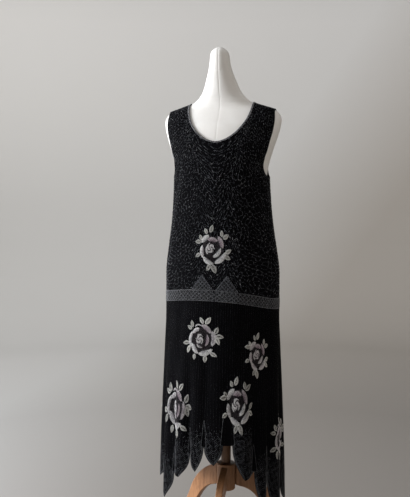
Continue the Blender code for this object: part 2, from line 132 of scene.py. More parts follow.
# Sections of the hanging cloth, on its inner face
DRAPE = records(
    Section,
    (0.2, 0.205, 0.172, 0.172), (0.33, 0.203, 0.168, 0.168), (0.45, 0.2, 0.162, 0.162),
    (0.6, 0.194, 0.15, 0.152), (0.75, 0.187, 0.139, 0.141), (0.85, 0.183, 0.131, 0.133),
    (0.92, 0.183, 0.127, 0.13), (0.985, 0.183, 0.124, 0.127), (1.064, 0.174, 0.12, 0.117),
    (1.143, 0.163, 0.118, 0.107), (1.22, 0.156, 0.118, 0.1), (1.3, 0.1525, 0.1195, 0.096),
    (1.34, 0.1565, 0.1185, 0.0965), (1.376, 0.15, 0.113, 0.096),
)

# The armhole's edge, seen from the front
ARMHOLE = records(
    Edge,
    (1.284, 0.153), (1.302, 0.1425), (1.322, 0.139), (1.348, 0.1425), (1.372, 0.15), (1.4, 0.157),
    (1.445, 0.1675), (1.48, 0.1715), (1.502, 0.167),
)

# Hem petals in degrees from the front towards +X. Fold is the depth of the valley
# after the petal, and notch is the height of the hem there.
FRONT_PETALS = records(
    Petal,
    (-74.0, 0.315, 9.2, 0.35, 0.012), (-53.5, 0.265, 11.0, 0.352, 0.014),
    (-31.0, 0.349, 10.0, 0.423, 0.013), (-13.4, 0.376, 7.0, 0.453, 0.004),
    (1.2, 0.4, 7.4, 0.462, 0.008), (28.0, 0.355, 11.2, 0.377, 0.014), (47.0, 0.255, 7.4, 0.365, 0.015),
    (70.6, 0.224, 14.2, 0.29, 0.012),
)
BACK_PETALS = records(
    Petal,
    (96.0, 0.235, 9.5, 0.395, 0.012), (115.0, 0.265, 9.0, 0.41, 0.015), (134.0, 0.305, 9.0, 0.43, 0.01),
    (153.0, 0.345, 9.0, 0.445, 0.008), (172.0, 0.375, 9.0, 0.455, 0.005),
    (191.0, 0.37, 9.0, 0.45, 0.009), (210.0, 0.34, 9.0, 0.435, 0.013), (229.0, 0.3, 9.0, 0.415, 0.015),
    (248.0, 0.285, 9.0, 0.4, 0.012), (267.0, 0.302, 9.0, 0.39, 0.01),
)
RIGHT_SEAM = 85.0
LEFT_SEAM = 276.5
SEAM_ANGLE = 0.12

# Soft folds that the cloth falls into: where in degrees and metres, how long and wide,
# the lean from upright in degrees, and the depth, below zero for a trough
CREASES = records(
    Crease,
    (-62.0, 1.245, 0.15, 0.011, 24.0, -0.0032), (-50.0, 1.205, 0.17, 0.014, 20.0, 0.0026),
    (60.0, 1.24, 0.16, 0.012, -22.0, -0.0034), (48.0, 1.19, 0.15, 0.013, -18.0, 0.0024),
    (-70.0, 1.02, 0.15, 0.012, 8.0, -0.0028), (-56.0, 0.995, 0.12, 0.015, 5.0, 0.0022),
    (67.0, 1.03, 0.17, 0.012, -9.0, -0.003), (54.0, 0.985, 0.11, 0.014, -4.0, 0.0024),
    (-18.0, 1.33, 0.1, 0.016, -12.0, -0.0016), (16.0, 1.32, 0.11, 0.017, 10.0, -0.0018),
    (-36.0, 0.8, 0.2, 0.013, 2.0, -0.0026), (-5.0, 0.69, 0.23, 0.014, -2.0, -0.002),
    (24.0, 0.79, 0.19, 0.013, 3.0, -0.0026), (60.0, 0.8, 0.18, 0.014, -3.0, -0.003),
    (-66.0, 0.79, 0.2, 0.013, 4.0, 0.0026), (118.0, 1.23, 0.16, 0.013, 20.0, -0.0032),
    (135.0, 1.19, 0.14, 0.014, 15.0, 0.0024), (241.0, 1.225, 0.17, 0.012, -21.0, -0.0034),
    (224.0, 1.18, 0.15, 0.015, -16.0, 0.0022), (172.0, 1.17, 0.18, 0.02, 3.0, -0.002),
    (150.0, 1.01, 0.12, 0.014, 4.0, -0.0024), (208.0, 1.0, 0.13, 0.014, -5.0, -0.0024),
    (124.0, 0.8, 0.19, 0.013, 2.0, -0.0026), (163.0, 0.74, 0.24, 0.014, -2.0, -0.0022),
    (199.0, 0.78, 0.2, 0.014, 2.0, -0.0026), (238.0, 0.8, 0.19, 0.013, -3.0, -0.0028),
)

# Radii of the cloth that turn angles into lengths: at its folds, waistband and hem
CREASE_RADIUS = 0.165
BAND_RADIUS = 0.165
HEM_RADIUS = 0.19

# Beads, in metres: their half sizes, and the least distance between two
GROUND_BEAD = 0.00105
WINDING_BEAD = 0.00128
ROSE_BEAD = 0.00138
BAND_BEAD = 0.00140
EDGE_BEAD = 0.00125
BEAD_FLATNESS = 0.80
WINDING_WAVELENGTH = 0.0205
WINDING_WAVES = 22
WINDING_SPACING = 0.00225
WINDING_LEVEL = 1.15
# Painted glints on the bodice: patches of lighter beads at this wavelength stand in for highlights
PAINTED_GLINT_WAVELENGTH = 0.0105
SKIRT_LINES = 164
SKIRT_BEAD_STEP = 0.0027
CLEAR_OF_ROSE = 0.0024

# Colours of beads and cloth
SILK = (0.0015, 0.0015, 0.0019)
SILK_LIGHT = (0.0038, 0.0038, 0.0048)
BLACK = (0.0030, 0.0030, 0.0038)
JET = (0.0070, 0.0075, 0.0100)
SMOKE = (0.0380, 0.0400, 0.0480)
PEWTER = (0.1500, 0.1560, 0.1720)
SILVER = (0.5600, 0.5650, 0.5800)
CREAM = (0.8200, 0.8200, 0.8200)
BLUSH = (0.5200, 0.4550, 0.4950)
MAUVE = (0.3300, 0.2500, 0.3000)
PLUM = (0.0260, 0.0150, 0.0210)
LEAF = (0.4400, 0.4400, 0.4150)
LEAF_EDGE = (0.6600, 0.6600, 0.6350)

# Roses: ring angle in degrees, height, size against the first, width against its own
# height, turn in degrees, warmth, and which of the two flowers it is
Rose = namedtuple("Rose", "name angle z size wide turn tint flower")
ROSES = records(
    Rose,
    ("rose_bodice_front", -2.0, 1.068, 1.0, 1.0, 0.0, 0.1, 0),
    ("rose_skirt_a", -10.5, 0.785, 1.02, 0.95, 0.0, 0.1, 1),
    ("rose_skirt_b", 43.0, 0.739, 0.96, 0.66, -6.0, 0.6, 0),
    ("rose_skirt_c", 122.0, 0.72, 1.0, 0.95, 20.0, 0.2, 1),
    ("rose_skirt_d", 163.0, 0.755, 1.02, 1.0, -15.0, 0.35, 0),
    ("rose_skirt_e", 206.0, 0.77, 1.0, 0.95, 12.0, 0.1, 1),
    ("rose_skirt_f", 250.0, 0.73, 1.0, 1.0, -22.0, 0.4, 0),
    ("rose_hem_a", -38.5, 0.56, 1.32, 0.64, -3.0, 0.25, 1),
    ("rose_hem_b", 21.5, 0.588, 1.24, 0.68, 6.0, 0.15, 0),
    ("rose_hem_c", 78.0, 0.462, 1.05, 0.8, 14.0, 0.55, 1),
    ("rose_hem_d", 128.0, 0.54, 1.16, 0.8, -10.0, 0.15, 0),
    ("rose_hem_e", 180.0, 0.59, 1.18, 0.85, 10.0, 0.3, 1),
    ("rose_hem_f", 229.0, 0.545, 1.16, 0.8, -14.0, 0.2, 0),
    ("rose_hem_g", 271.0, 0.52, 1.1, 0.8, 8.0, 0.35, 1),
    ("rose_bodice_back", 180.0, 1.085, 1.0, 1.0, 10.0, 0.15, 1),
)
ROSE_WIDE = 0.0430
ROSE_HIGH = 0.0480
ROSE_PITCH = 0.00205

# Petals of the two flowers: turn of its middle and its span in degrees, and its inner and
# outer reach as shares of the rose. Warmth is how far its beads go towards mauve.
Lobe = namedtuple("Lobe", "turn span inner outer warmth")
FLOWERS = (
    records(
        Lobe,
        (135.0, 54.0, 0.68, 1.06, 0.0), (194.0, 54.0, 0.66, 1.0, 0.15), (246.0, 60.0, 0.74, 1.06, 0.0),
        (313.0, 66.0, 0.76, 1.13, 0.0), (30.0, 62.0, 0.6, 0.96, 0.7), (88.0, 70.0, 0.44, 0.74, 0.75),
        (323.0, 84.0, 0.38, 0.66, 0.0), (196.0, 70.0, 0.36, 0.52, 0.1),
    ),
    records(
        Lobe,
        (176.0, 66.0, 0.76, 1.04, 0.1), (124.0, 52.0, 0.58, 0.9, 0.2), (60.0, 58.0, 0.68, 1.03, 0.6),
        (103.0, 34.0, 0.91, 1.05, 0.2), (2.0, 60.0, 0.74, 1.02, 0.3), (290.0, 66.0, 0.7, 1.06, 0.0),
        (226.0, 58.0, 0.6, 0.96, 0.05), (352.0, 92.0, 0.36, 0.6, 0.85), (250.0, 60.0, 0.38, 0.54, 0.3),
    ),
)
HEART_REACH = 0.29
PLUM_REACH = 0.80

# Leaves round each flower: turn of the stalk, the leaf's lean from it, and its size
LeafPlace = namedtuple("LeafPlace", "turn lean size")
LEAVES = (
    records(
        LeafPlace,
        (112.0, -2.0, 0.72), (98.0, -32.0, 1.0), (148.0, -24.0, 0.68), (154.0, 28.0, 0.95),
        (199.0, 8.0, 0.8), (262.0, -22.0, 0.92), (270.0, 16.0, 1.08), (343.0, 44.0, 0.98),
        (334.0, -2.0, 0.98), (46.0, 44.0, 0.76), (38.0, -12.0, 1.02),
    ),
    records(
        LeafPlace,
        (82.0, 34.0, 0.8), (72.0, -20.0, 0.98), (134.0, -32.0, 0.88), (142.0, 12.0, 0.8),
        (194.0, -6.0, 1.0), (206.0, 44.0, 0.92), (244.0, 22.0, 0.78), (291.0, -18.0, 0.86),
        (312.0, 20.0, 0.78), (22.0, 46.0, 0.9), (16.0, -24.0, 1.0), (12.0, -78.0, 0.92),
    ),
)
LEAF_LENGTH = 0.0240
LEAF_HALF_WIDTH = 0.0066
STALK_REACH = 1.04

# Waistband beads
BAND_ROW = 0.0026
LATTICE_PITCH = 0.0125
PEAK_LINE = (0.25, 0.265, 0.3)

# Petal beads
PETAL_HATCH = 0.0062
NOTCH_LINE_HEIGHT = 0.085
GREY_EDGE = (SMOKE, (0.210, 0.220, 0.235))
GREY_HATCH = (SMOKE, PEWTER)
HATCH_REACH = 0.075

# Edgings
NECK_EDGING = 0.0058
ARM_EDGING = 0.0042

# Form
FORM_SIDES = 96
FORM_ROW = 0.008
SEAM_DEPTH = 0.0005
SEAM_WIDTH = 0.0013
NECK_SEAMS = (1.543, 1.622)
FORM_SEAMS = (0.0, math.pi / 2, math.pi, 3 * math.pi / 2)

# Grains under the silk's beads to a metre, and the wood grain's scale along each axis
GRAIN_SCALE = 430.0
GRAIN_STRETCH = (42.0, 42.0, 4.0)

# Paint of the studio, with painted light and shade in it: darker on the floor near the dress, paler far
# off and up the wall
STUDIO_REACH = 6.0
PAINT_AND_PAINTED_LIGHT = [
    (0.10, (0.330, 0.329, 0.326)),
    (0.35, (0.325, 0.323, 0.318)),
    (0.62, (0.455, 0.452, 0.444)),
    (0.87, (0.495, 0.491, 0.480)),
    (1.00, (0.600, 0.593, 0.582)),
]
# A painted shadow: the warmer, darker colour mixed into the paint low on the right
PAINTED_WARM_SHADOW = (0.700, 0.655, 0.610)

SEED = 1926


# Sections


class Rows:
    """Smooth curves through a table's columns that never overshoot a row."""

    def __init__(self, table):
        data = np.array(table, float)
        self.z = data[:, 0]
        self.values = data[:, 1:]
        step = np.diff(self.values, axis=0) / np.diff(self.z)[:, None]
        before, after = step[:-1], step[1:]
        same = before * after > 0
        total = np.where(same, before + after, 1.0)
        inner = np.where(same, 2 * before * after / total, 0.0)
        self.slope = np.vstack([step[:1], inner, step[-1:]])

    def at(self, z):
        z = np.clip(z, self.z[0], self.z[-1])
        i = np.clip(np.searchsorted(self.z, z, side="right") - 1, 0, len(self.z) - 2)
        width = (self.z[i + 1] - self.z[i])[..., None]
        t = (z - self.z[i])[..., None] / width
        return (
            self.values[i] * (1 + 2 * t) * (1 - t) ** 2
            + self.values[i + 1] * t * t * (3 - 2 * t)
            + width * self.slope[i] * t * (1 - t) ** 2
            - width * self.slope[i + 1] * t * t * (1 - t)
        )


FORM_ROWS = Rows(FORM)
DRAPE_ROWS = Rows(DRAPE)
ARMHOLE_ROWS = Rows(ARMHOLE)


def dress_section(z):
    """Half width, front and back of the cloth's inner face at each height."""
    z = np.asarray(z, float)
    hang = DRAPE_ROWS.at(z)
    form = FORM_ROWS.at(z - SHOULDER_LIFT)
    base = np.where((z > DRAPE[-1].z)[..., None], form, hang)
    rested = np.maximum(base, form + FORM_CLEARANCE)
    return np.where((z < ARMHOLE_LOW)[..., None], hang, rested)


def bent(values):
    return np.sign(values) * np.abs(values) ** (2 / SQUARENESS)


def section_point(section, angle, z):
    """Points of sections, at angles in radians from the front towards +X."""
    half_width, front, back = np.moveaxis(section, -1, 0)
    across = half_width * bent(np.sin(angle))
    along = (back - front) / 2 - (back + front) / 2 * bent(np.cos(angle))
    return np.stack([BODY_X + across, BODY_Y + along, z + 0 * across], -1)


def ring_angle(x, z, facing):
    """The ring angle of a point by its x. Facing is -1 on the front and 1 on the back."""
    half_width = dress_section(z)[..., 0]
    share = np.minimum(np.abs(x) / half_width, 1.0)
    angle = np.sign(x) * np.arcsin(share ** (SQUARENESS / 2))
    angle = np.clip(angle, -SIDE_ANGLE, SIDE_ANGLE)
    return angle if facing < 0 else math.pi - angle


def smooth_step(t):
    t = np.clip(t, 0.0, 1.0)
    return t * t * (3 - 2 * t)


def turned(degrees):
    """An angle's difference from zero, from -180 to 180 degrees."""
    return (degrees + 180) % 360 - 180


def folds():
    petals = FRONT_PETALS + BACK_PETALS
    valleys = []
    for i, petal in enumerate(petals):
        span = (petals[(i + 1) % len(petals)].angle - petal.angle) % 360
        valleys.append((petal.angle + span / 2, span / 2, petal.fold))
    return valleys


VALLEYS = folds()


def flute_depth(degrees, z):
    """How far the skirt falls inwards between two petals, growing towards the hem."""
    growth = smooth_step((FLUTE_TOP - z) / (FLUTE_TOP - FLUTE_FULL))
    depth = np.zeros(np.broadcast(degrees, z).shape)
    for valley, half_width, fold in VALLEYS:
        off = np.minimum(np.abs(turned(degrees - valley)) / half_width, 1.0)
        depth = depth + fold * (0.5 + 0.5 * np.cos(math.pi * off)) ** FLUTE_SHARPNESS
    return depth * growth


def crease_height(degrees, z):
    """Soft folds, as a height over the even cloth."""
    height = np.zeros(np.broadcast(degrees, z).shape)
    for crease in CREASES:
        across = np.radians(turned(degrees - crease.angle)) * CREASE_RADIUS
        up = z - crease.z
        lean = math.radians(crease.lean)
        along = up * math.cos(lean) + across * math.sin(lean)
        off = across * math.cos(lean) - up * math.sin(lean)
        off = off - 0.12 * along**2 / crease.length
        fade = smooth_step(1.25 - np.abs(along) / crease.length * 1.25)
        height = height + crease.depth * fade * np.exp(-((off / crease.width) ** 2))
    return height


def cloth_point(angle, z):
    """Points on the cloth's inner face at ring angles in radians."""
    point = section_point(dress_section(z), angle, z)
    degrees = np.degrees(angle)
    inwards = flute_depth(degrees, z) - crease_height(degrees, z)
    away = point - np.array([BODY_X, BODY_Y, 0.0])
    away[..., 2] = 0.0
    away /= np.linalg.norm(away, axis=-1, keepdims=True)
    return point - away * inwards[..., None]


def walked_along(points):
    """How far each point of a line lies from its first, along the line."""
    return np.concatenate([[0], np.cumsum(np.linalg.norm(np.diff(points, axis=0), axis=-1))])


def unit(vectors):
    return vectors / np.maximum(np.linalg.norm(vectors, axis=-1, keepdims=True), 1e-12)


ANGLE_STEP = 0.003
HEIGHT_STEP = 0.0004


def cloth_frame(angle, z):
    """Points on the inner face, the directions round the ring, and straight out."""
    angle, z = np.broadcast_arrays(np.asarray(angle, float), np.asarray(z, float))
    point = cloth_point(angle, z)
    turn = cloth_point(angle + ANGLE_STEP, z) - cloth_point(angle - ANGLE_STEP, z)
    rise = cloth_point(angle, z + HEIGHT_STEP) - cloth_point(angle, z - HEIGHT_STEP)
    return point, unit(turn), unit(np.cross(turn, rise))


def arc_per_angle(angle, z):
    """Metres along the ring for each radian."""
    step = cloth_point(angle + 0.02, z) - cloth_point(angle - 0.02, z)
    return np.linalg.norm(step, axis=-1) / 0.04


# Bodice


def ridge_height(x):
    """The height at which the shoulder line passes x."""
    low, high = 1.48, 1.55
    for _ in range(40):
        middle = (low + high) / 2
        if dress_section(middle)[0] > abs(x):
            low = middle
        else:
            high = middle
    return low


RIDGE_AT_NECK = ridge_height(NECK_HALF)


def neckline(x, low):
    """The height of the neck opening's edge at x."""
    ratio = min(abs(x) / NECK_HALF, 1.0)
    rise = (1 - math.sqrt(1 - ratio * ratio)) ** NECK_SCOOP
    return low + (RIDGE_AT_NECK - low) * rise


def band_line(angle):
    """The waistband's top edge without its peaks."""
    rise = BAND_FRONT_RISE * np.maximum(np.cos(angle), 0.0) ** 2
    return BAND_TOP + rise - BAND_SIDE_DROP * np.sin(angle)


def peak(x):
    """How far a peak stands over the waistband's top edge at x."""
    x = np.abs(x)
    inner = (x - PEAK_INNER) / (PEAK_APEX - PEAK_INNER)
    outer = (PEAK_OUTER - x) / (PEAK_OUTER - PEAK_APEX)
    return PEAK_HEIGHT * np.maximum(np.minimum(inner, outer), 0.0)


def bodice_columns(inner_count, outer_count):
    """(x, x at the top, share of the way to the armhole) of each column, left to right."""
    xs = set(np.linspace(0.0, NECK_HALF, inner_count + 1))
    xs |= {PEAK_INNER, PEAK_APEX, PEAK_OUTER}
    right = []
    for x in sorted(xs):
        left_over = 1 - x / NECK_HALF
        top_x = NECK_HALF * math.sin(math.pi / 2 * (1 - left_over**2))
        right.append((x, top_x, 0.0))
    for k in range(1, outer_count + 1):
        share = k / outer_count
        right.append((NECK_HALF, NECK_HALF + share * (SHOULDER_HALF - NECK_HALF), share))
    left = [(-x, -top_x, share) for x, top_x, share in reversed(right[1:])]
    return left + right


def column_heights(low, top, bend, counts):
    """Heights of a column's points, closer together over the shoulder."""
    to_armhole, to_bend, to_top = counts
    over = 1 - np.arange(to_top + 1) / to_top
    return np.concatenate(
        [
            low + (ARMHOLE_LOW - low) * np.arange(to_armhole) / to_armhole,
            ARMHOLE_LOW + (bend - ARMHOLE_LOW) * np.arange(to_bend) / to_bend,
            top - (top - bend) * over**2,
        ]
    )


def column_side(x, share, z):
    """The column's x on the cloth below the shoulder's bend."""
    if share == 0:
        return np.full_like(z, x)
    half_width = dress_section(z)[..., 0]
    sign = math.copysign(1, x)
    edge = np.where(z > ARMHOLE_LOW, ARMHOLE_ROWS.at(z)[..., 0], half_width)
    start = np.abs(ring_angle(np.full_like(z, x), z, -1))
    end = np.arcsin(np.minimum(edge / half_width, 1.0) ** (SQUARENESS / 2))
    return sign * half_width * bent(np.sin(start + share * (end - start)))


def bodice_grid(facing, inner_count, outer_count, counts):
    """Ring angles and heights of a bodice panel, one row of the arrays for each column."""
    low_neck = NECK_FRONT_LOW if facing < 0 else NECK_BACK_LOW
    angles, heights = [], []
    for x, top_x, share in bodice_columns(inner_count, outer_count):
        at_band = ring_angle(column_side(x, share, np.array([BAND_TOP])), BAND_TOP, facing)
        low = band_line(at_band[0]) + EDGE_GAP + (peak(x) if share == 0 else 0.0)
        top = neckline(top_x, low_neck) if share == 0 else ridge_height(top_x)
        bend = ARMHOLE_LOW + SHOULDER_BEND * (top - ARMHOLE_LOW)
        z = column_heights(low, top, bend, counts)
        side = column_side(x, share, z)
        start, power = (ARMHOLE_LOW, 1) if share == 0 else (bend, 2)
        lead = np.clip((z - start) / (top - start), 0.0, 1.0) ** power
        side = side + (top_x - side) * lead
        angles.append(ring_angle(side, z, facing))
        heights.append(z)
    return np.array(angles), np.array(heights)


# Skirt


def petal_height(tip, notch, step):
    """A petal's side is a pointed arch upside down: step is 0 at its tip, 1 at the notch."""
    return tip + (notch - tip) * (1 - np.sqrt(1 - step))


def hem_columns(petals, start, end, before):
    """(degrees, hem height) of each column, with one on every tip and notch."""
    columns = [(start, before.notch)]
    notch = before.notch
    for petal in petals:
        for step in reversed(SKIRT_COLUMNS):
            height = petal_height(petal.tip, notch, step)
            columns.append((petal.angle - step * petal.half_angle, height))
        for step in SKIRT_COLUMNS[1:]:
            height = petal_height(petal.tip, petal.notch, step)
            columns.append((petal.angle + step * petal.half_angle, height))
        notch = petal.notch
    columns.append((end, petals[-1].notch))
    return columns


def skirt_grid(petals, start, end, before):
    angles, heights = [], []
    for degrees, hem in hem_columns(petals, start, end, before):
        angle = math.radians(degrees)
        top = band_line(angle) - BAND_HEIGHT - EDGE_GAP
        rows = np.linspace(0.0, 1.0, SKIRT_ROWS + 1)
        angles.append(np.full_like(rows, angle))
        heights.append(hem + (top - hem) * rows)
    return np.array(angles), np.array(heights)


def hem_height(degrees):
    """The hem's height at ring angles in degrees."""
    height = np.full(np.shape(degrees), 9.0)
    petals = FRONT_PETALS + BACK_PETALS
    for i, petal in enumerate(petals):
        off = turned(degrees - petal.angle)
        notch = np.where(off < 0, petals[i - 1].notch, petal.notch)
        step = np.abs(off) / petal.half_angle
        side = petal_height(petal.tip, notch, np.minimum(step, 1.0))
        height = np.where(step <= 1.0, side, height)
    for i, petal in enumerate(petals):
        after = petals[(i + 1) % len(petals)]
        span = (after.angle - petal.angle) % 360
        off = (degrees - petal.angle) % 360
        between = (off > petal.half_angle) & (off < span - after.half_angle)
        height = np.where(between, petal.notch, height)
    return height


# Meshes


def linked(name, data):
    made = bpy.data.objects.new(name, data)
    bpy.context.scene.collection.objects.link(made)
    return made


def add_mesh(name, points, faces, caps=()):
    """A smooth mesh. Caps are further faces, with any number of corners."""
    mesh = bpy.data.meshes.new(name)
    mesh.from_pydata(np.reshape(points, (-1, 3)).tolist(), [], faces.tolist() + list(caps))
    mesh.shade_smooth()
    mesh.update()
    return linked(name, mesh)


def numbered(columns, rows):
    return np.arange(columns * rows).reshape(columns, rows)


def grid_faces(index, after):
    """Faces between columns of point numbers and the columns after them."""
    corners = index[:, :-1], after[:, :-1], after[:, 1:], index[:, 1:]
    return np.stack([part.ravel() for part in corners], -1)


def wall(name, inner, outer, outward_order):
    """A closed thin wall between two grids of points of the same shape."""
    index = numbered(*inner.shape[:2])
    over = index.size
    inside = grid_faces(index[:-1], index[1:])
    border = np.concatenate([index[:, 0], index[-1, 1:], index[-2::-1, -1], index[0, -2:0:-1]])
    after = np.roll(border, -1)
    rim = np.stack([border, after, after + over, border + over], -1)
    faces = np.concatenate([inside + over, inside[:, ::-1], rim])
    if not outward_order:
        faces = faces[:, ::-1]
    made = add_mesh(name, np.concatenate([inner.reshape(-1, 3), outer.reshape(-1, 3)]), faces)
    made.data.set_sharp_from_angle(angle=math.radians(50))
    return made


def cloth_wall(name, angles, heights, inside, outside, increasing):
    """A cloth shell over a grid. Increasing says that the ring angle grows by column."""
    point, _, out = cloth_frame(angles, heights)
    return wall(name, point + out * inside, point + out * outside, increasing)


BEAD_CORNERS = np.array(
    [(1, 0, 0), (0, 1, 0), (-1, 0, 0), (0, -1, 0), (0, 0, 1), (0, 0, -1)], float
)
BEAD_FACES = np.array(
    [(0, 1, 4), (1, 2, 4), (2, 3, 4), (3, 0, 4), (1, 0, 5), (2, 1, 5), (3, 2, 5), (0, 3, 5)]
)


class Beads:
    """Beads gathered as ring angles, heights, lifts, half sizes and colours."""

    def __init__(self):
        self.angle, self.z, self.lift, self.size, self.colour = [], [], [], [], []

    def add(self, angle, z, lift, size, colour):
        angle, z = np.broadcast_arrays(np.atleast_1d(angle), np.atleast_1d(z))
        count = angle.size
        self.angle.append(angle.ravel())
        self.z.append(z.ravel())
        self.lift.append(np.broadcast_to(lift, count))
        self.size.append(np.broadcast_to(size, count))
        self.colour.append(np.broadcast_to(colour, (count, 3)))

    def arrays(self):
        parts = (self.angle, self.z, self.lift, self.size)
        return [np.concatenate(part) for part in parts] + [np.concatenate(self.colour)]

    def points(self):
        angle, z, lift, _, _ = self.arrays()
        point, _, out = cloth_frame(angle, z)
        return point + out * lift[:, None]

    def build(self, name, rng):
        angle, z, lift, size, colour = self.arrays()
        point, turn, out = cloth_frame(angle, z)
        spin = rng.uniform(0, math.pi / 2, len(angle))[:, None]
        first = turn * np.cos(spin) + np.cross(out, turn) * np.sin(spin)
        axes = np.stack([first, np.cross(out, first), out * BEAD_FLATNESS], 1)
        grown = size * rng.uniform(0.88, 1.10, len(size))
        shade = colour * rng.uniform(0.72, 1.28, (len(colour), 1))
        return bead_mesh(name, point + out * lift[:, None], axes, grown, shade)


def bead_mesh(name, middle, axes, size, colour):
    """Eight-sided beads, each with its middle, its three axes, its size and its colour."""
    corners = np.einsum("kc,ncd->nkd", BEAD_CORNERS, axes) * np.reshape(size, (-1, 1, 1))
    faces = BEAD_FACES[None] + 6 * np.arange(len(middle))[:, None, None]
    made = add_mesh(name, corners + middle[:, None, :], faces.reshape(-1, 3))
    paint = made.data.color_attributes.new("bead_colour", "FLOAT_COLOR", "POINT")
    values = np.ones((len(middle), 6, 4))
    values[:, :, :3] = np.clip(colour, 0, 1)[:, None, :]
    paint.data.foreach_set("color", values.ravel())
    return made


AROUND = [(i, j, k) for i in (-1, 0, 1) for j in (-1, 0, 1) for k in (-1, 0, 1)]


def spaced(points, spacing, taken, clear):
    """The numbers of the points that keep their distance from those kept before them."""
    kept, cells = [], {}
    near = blocked(points, taken, clear)
    keys = np.floor(points / spacing).astype(int)
    limit = spacing * spacing
    for n in np.flatnonzero(~near):
        x, y, z = points[n]
        a, b, c = keys[n]
        others = (other for i, j, k in AROUND for other in cells.get((a + i, b + j, c + k), ()))
        if any((px - x) ** 2 + (py - y) ** 2 + (pz - z) ** 2 < limit for px, py, pz in others):
            continue
        cells.setdefault((a, b, c), []).append((x, y, z))
        kept.append(n)
    return np.array(kept, int)


def blocked(points, taken, clear):
    """Whether each point is closer than clear to any taken one."""
    cells = {tuple(key) for key in np.floor(taken / clear).astype(int).tolist()}
    keys = np.floor(points / clear).astype(int).tolist()
    near = np.array([any((a + i, b + j, c + k) in cells for i, j, k in AROUND) for a, b, c in keys])
    chosen = np.flatnonzero(near)
    if not len(chosen):
        return near
    for part in np.array_split(chosen, max(1, len(chosen) // 400)):
        low, high = points[part].min(0) - clear, points[part].max(0) + clear
        close = taken[((taken > low) & (taken < high)).all(1)]
        apart = np.linalg.norm(points[part][:, None] - close[None], axis=-1)
        near[part] = apart.min(1, initial=np.inf) < clear
    return near


# Roses


def on_cloth(angle, z, right, up):
    """Ring angles and heights of places given in metres right and up from a centre."""
    reach = arc_per_angle(np.array(angle), np.array(z))
    return angle + right / reach, z + up


def polar_rows(turn, span, inner, outer):
    """Rows of places in a petal: (share along, depth from its edge, x, y), in rose shares."""
    pitch = ROSE_PITCH / ROSE_WIDE
    found = []
    depth = pitch / 2
    while depth < outer - inner:
        reach = outer - depth
        count = max(3, int(math.radians(span) * reach / pitch))
        along = (np.arange(count) + 0.5) / count * 2 - 1
        thickness = (outer - inner) * (1 - along**2) ** 0.72
        keep = thickness > depth * 0.98
        curl = 1 - 0.10 * along**2 + 0.045 * along
        turn_there = np.radians(turn + along * span / 2)
        radius = outer * curl - depth
        x, y = radius * np.cos(turn_there), radius * np.sin(turn_there)
        found.append(np.stack([along, 0 * along + depth / (outer - inner), x, y], -1)[keep])
        depth += pitch
    return np.concatenate(found)


def mixed(first, second, share):
    """A colour, or rows of them, a share of the way from the first to the second."""
    share = np.asarray(share)[..., None]
    return np.array(first) * (1 - share) + np.array(second) * share


def rose_beads(rose, rng):
    beads = Beads()
    angle = math.radians(rose.angle)
    taken = []

    def put(x, y, colour, lift):
        """Places in shares of the rose, turned and laid on the cloth."""
        turn = math.radians(rose.turn)
        tx = x * math.cos(turn) - y * math.sin(turn)
        ty = x * math.sin(turn) + y * math.cos(turn)
        right = tx * ROSE_WIDE * rose.size * rose.wide
        up = ty * ROSE_HIGH * rose.size
        place_angle, place_z = on_cloth(angle, rose.z, right, up)
        beads.add(place_angle, place_z, lift, ROSE_BEAD, colour)
        taken.append(np.stack([x, y], -1))

    raised = CLOTH_OUTSIDE + ROSE_BEAD * 0.55
    for lobe in FLOWERS[rose.flower]:
        turn = lobe.turn + rng.uniform(-4, 4)
        span = lobe.span * rng.uniform(0.95, 1.07)
        rows = polar_rows(turn, span, lobe.inner, lobe.outer * rng.uniform(0.97, 1.02))
        warmth = min(lobe.warmth + rose.tint * rng.uniform(0.1, 0.6), 1.0)
        along, depth = rows[:, 0], rows[:, 1]
        edge = mixed(CREAM, BLUSH, warmth)
        deep = mixed(SILVER, MAUVE, min(warmth * 1.3, 1.0))
        colour = mixed(edge, deep, smooth_step(depth * 1.5 - 0.2))
        shadow = smooth_step((depth - 0.72) * 3.4) * 0.85
        shadow = np.maximum(shadow, smooth_step((np.abs(along) - 0.78) * 4.0) * 0.5)
        colour = mixed(colour, PLUM, shadow)
        lift = raised + 0.0009 * np.sin(math.pi * np.clip(depth, 0, 1)) * (1 - along**2)
        put(rows[:, 2], rows[:, 3], colour, lift)
    put_heart(put, rng, raised, rose.tint)
    put_gaps(put, rng, taken, raised)
    put_leaves(put, rng, raised, LEAVES[rose.flower])
    return beads


def put_heart(put, rng, raised, tint):
    """The bud: light beads in three curled clusters with dark turns between."""
    pitch = ROSE_PITCH / ROSE_WIDE
    steps = np.arange(-HEART_REACH, HEART_REACH + pitch, pitch)
    x, y = [part.ravel() for part in np.meshgrid(steps, steps * 0.94)]
    x = x + rng.uniform(-0.15, 0.15, x.size) * pitch
    y = y + rng.uniform(-0.15, 0.15, y.size) * pitch
    reach = np.hypot(x, y * 0.85)
    inside = reach < HEART_REACH
    x, y, reach = x[inside], y[inside], reach[inside]
    curl = np.arctan2(y, x) + reach * 9.0 + rng.uniform(0, 6)
    wave = 0.5 + 0.5 * np.sin(curl * 3)
    colour = mixed(SILVER, CREAM, smooth_step(wave * 1.6 - 0.4))
    colour = mixed(colour, BLUSH, np.clip(rng.uniform(0, 0.3, len(x)) + tint * 0.6, 0, 1))
    colour = mixed(colour, PLUM, smooth_step((0.30 - wave) * 6))
    put(x - 0.12, y + 0.03, colour, raised + 0.0007)


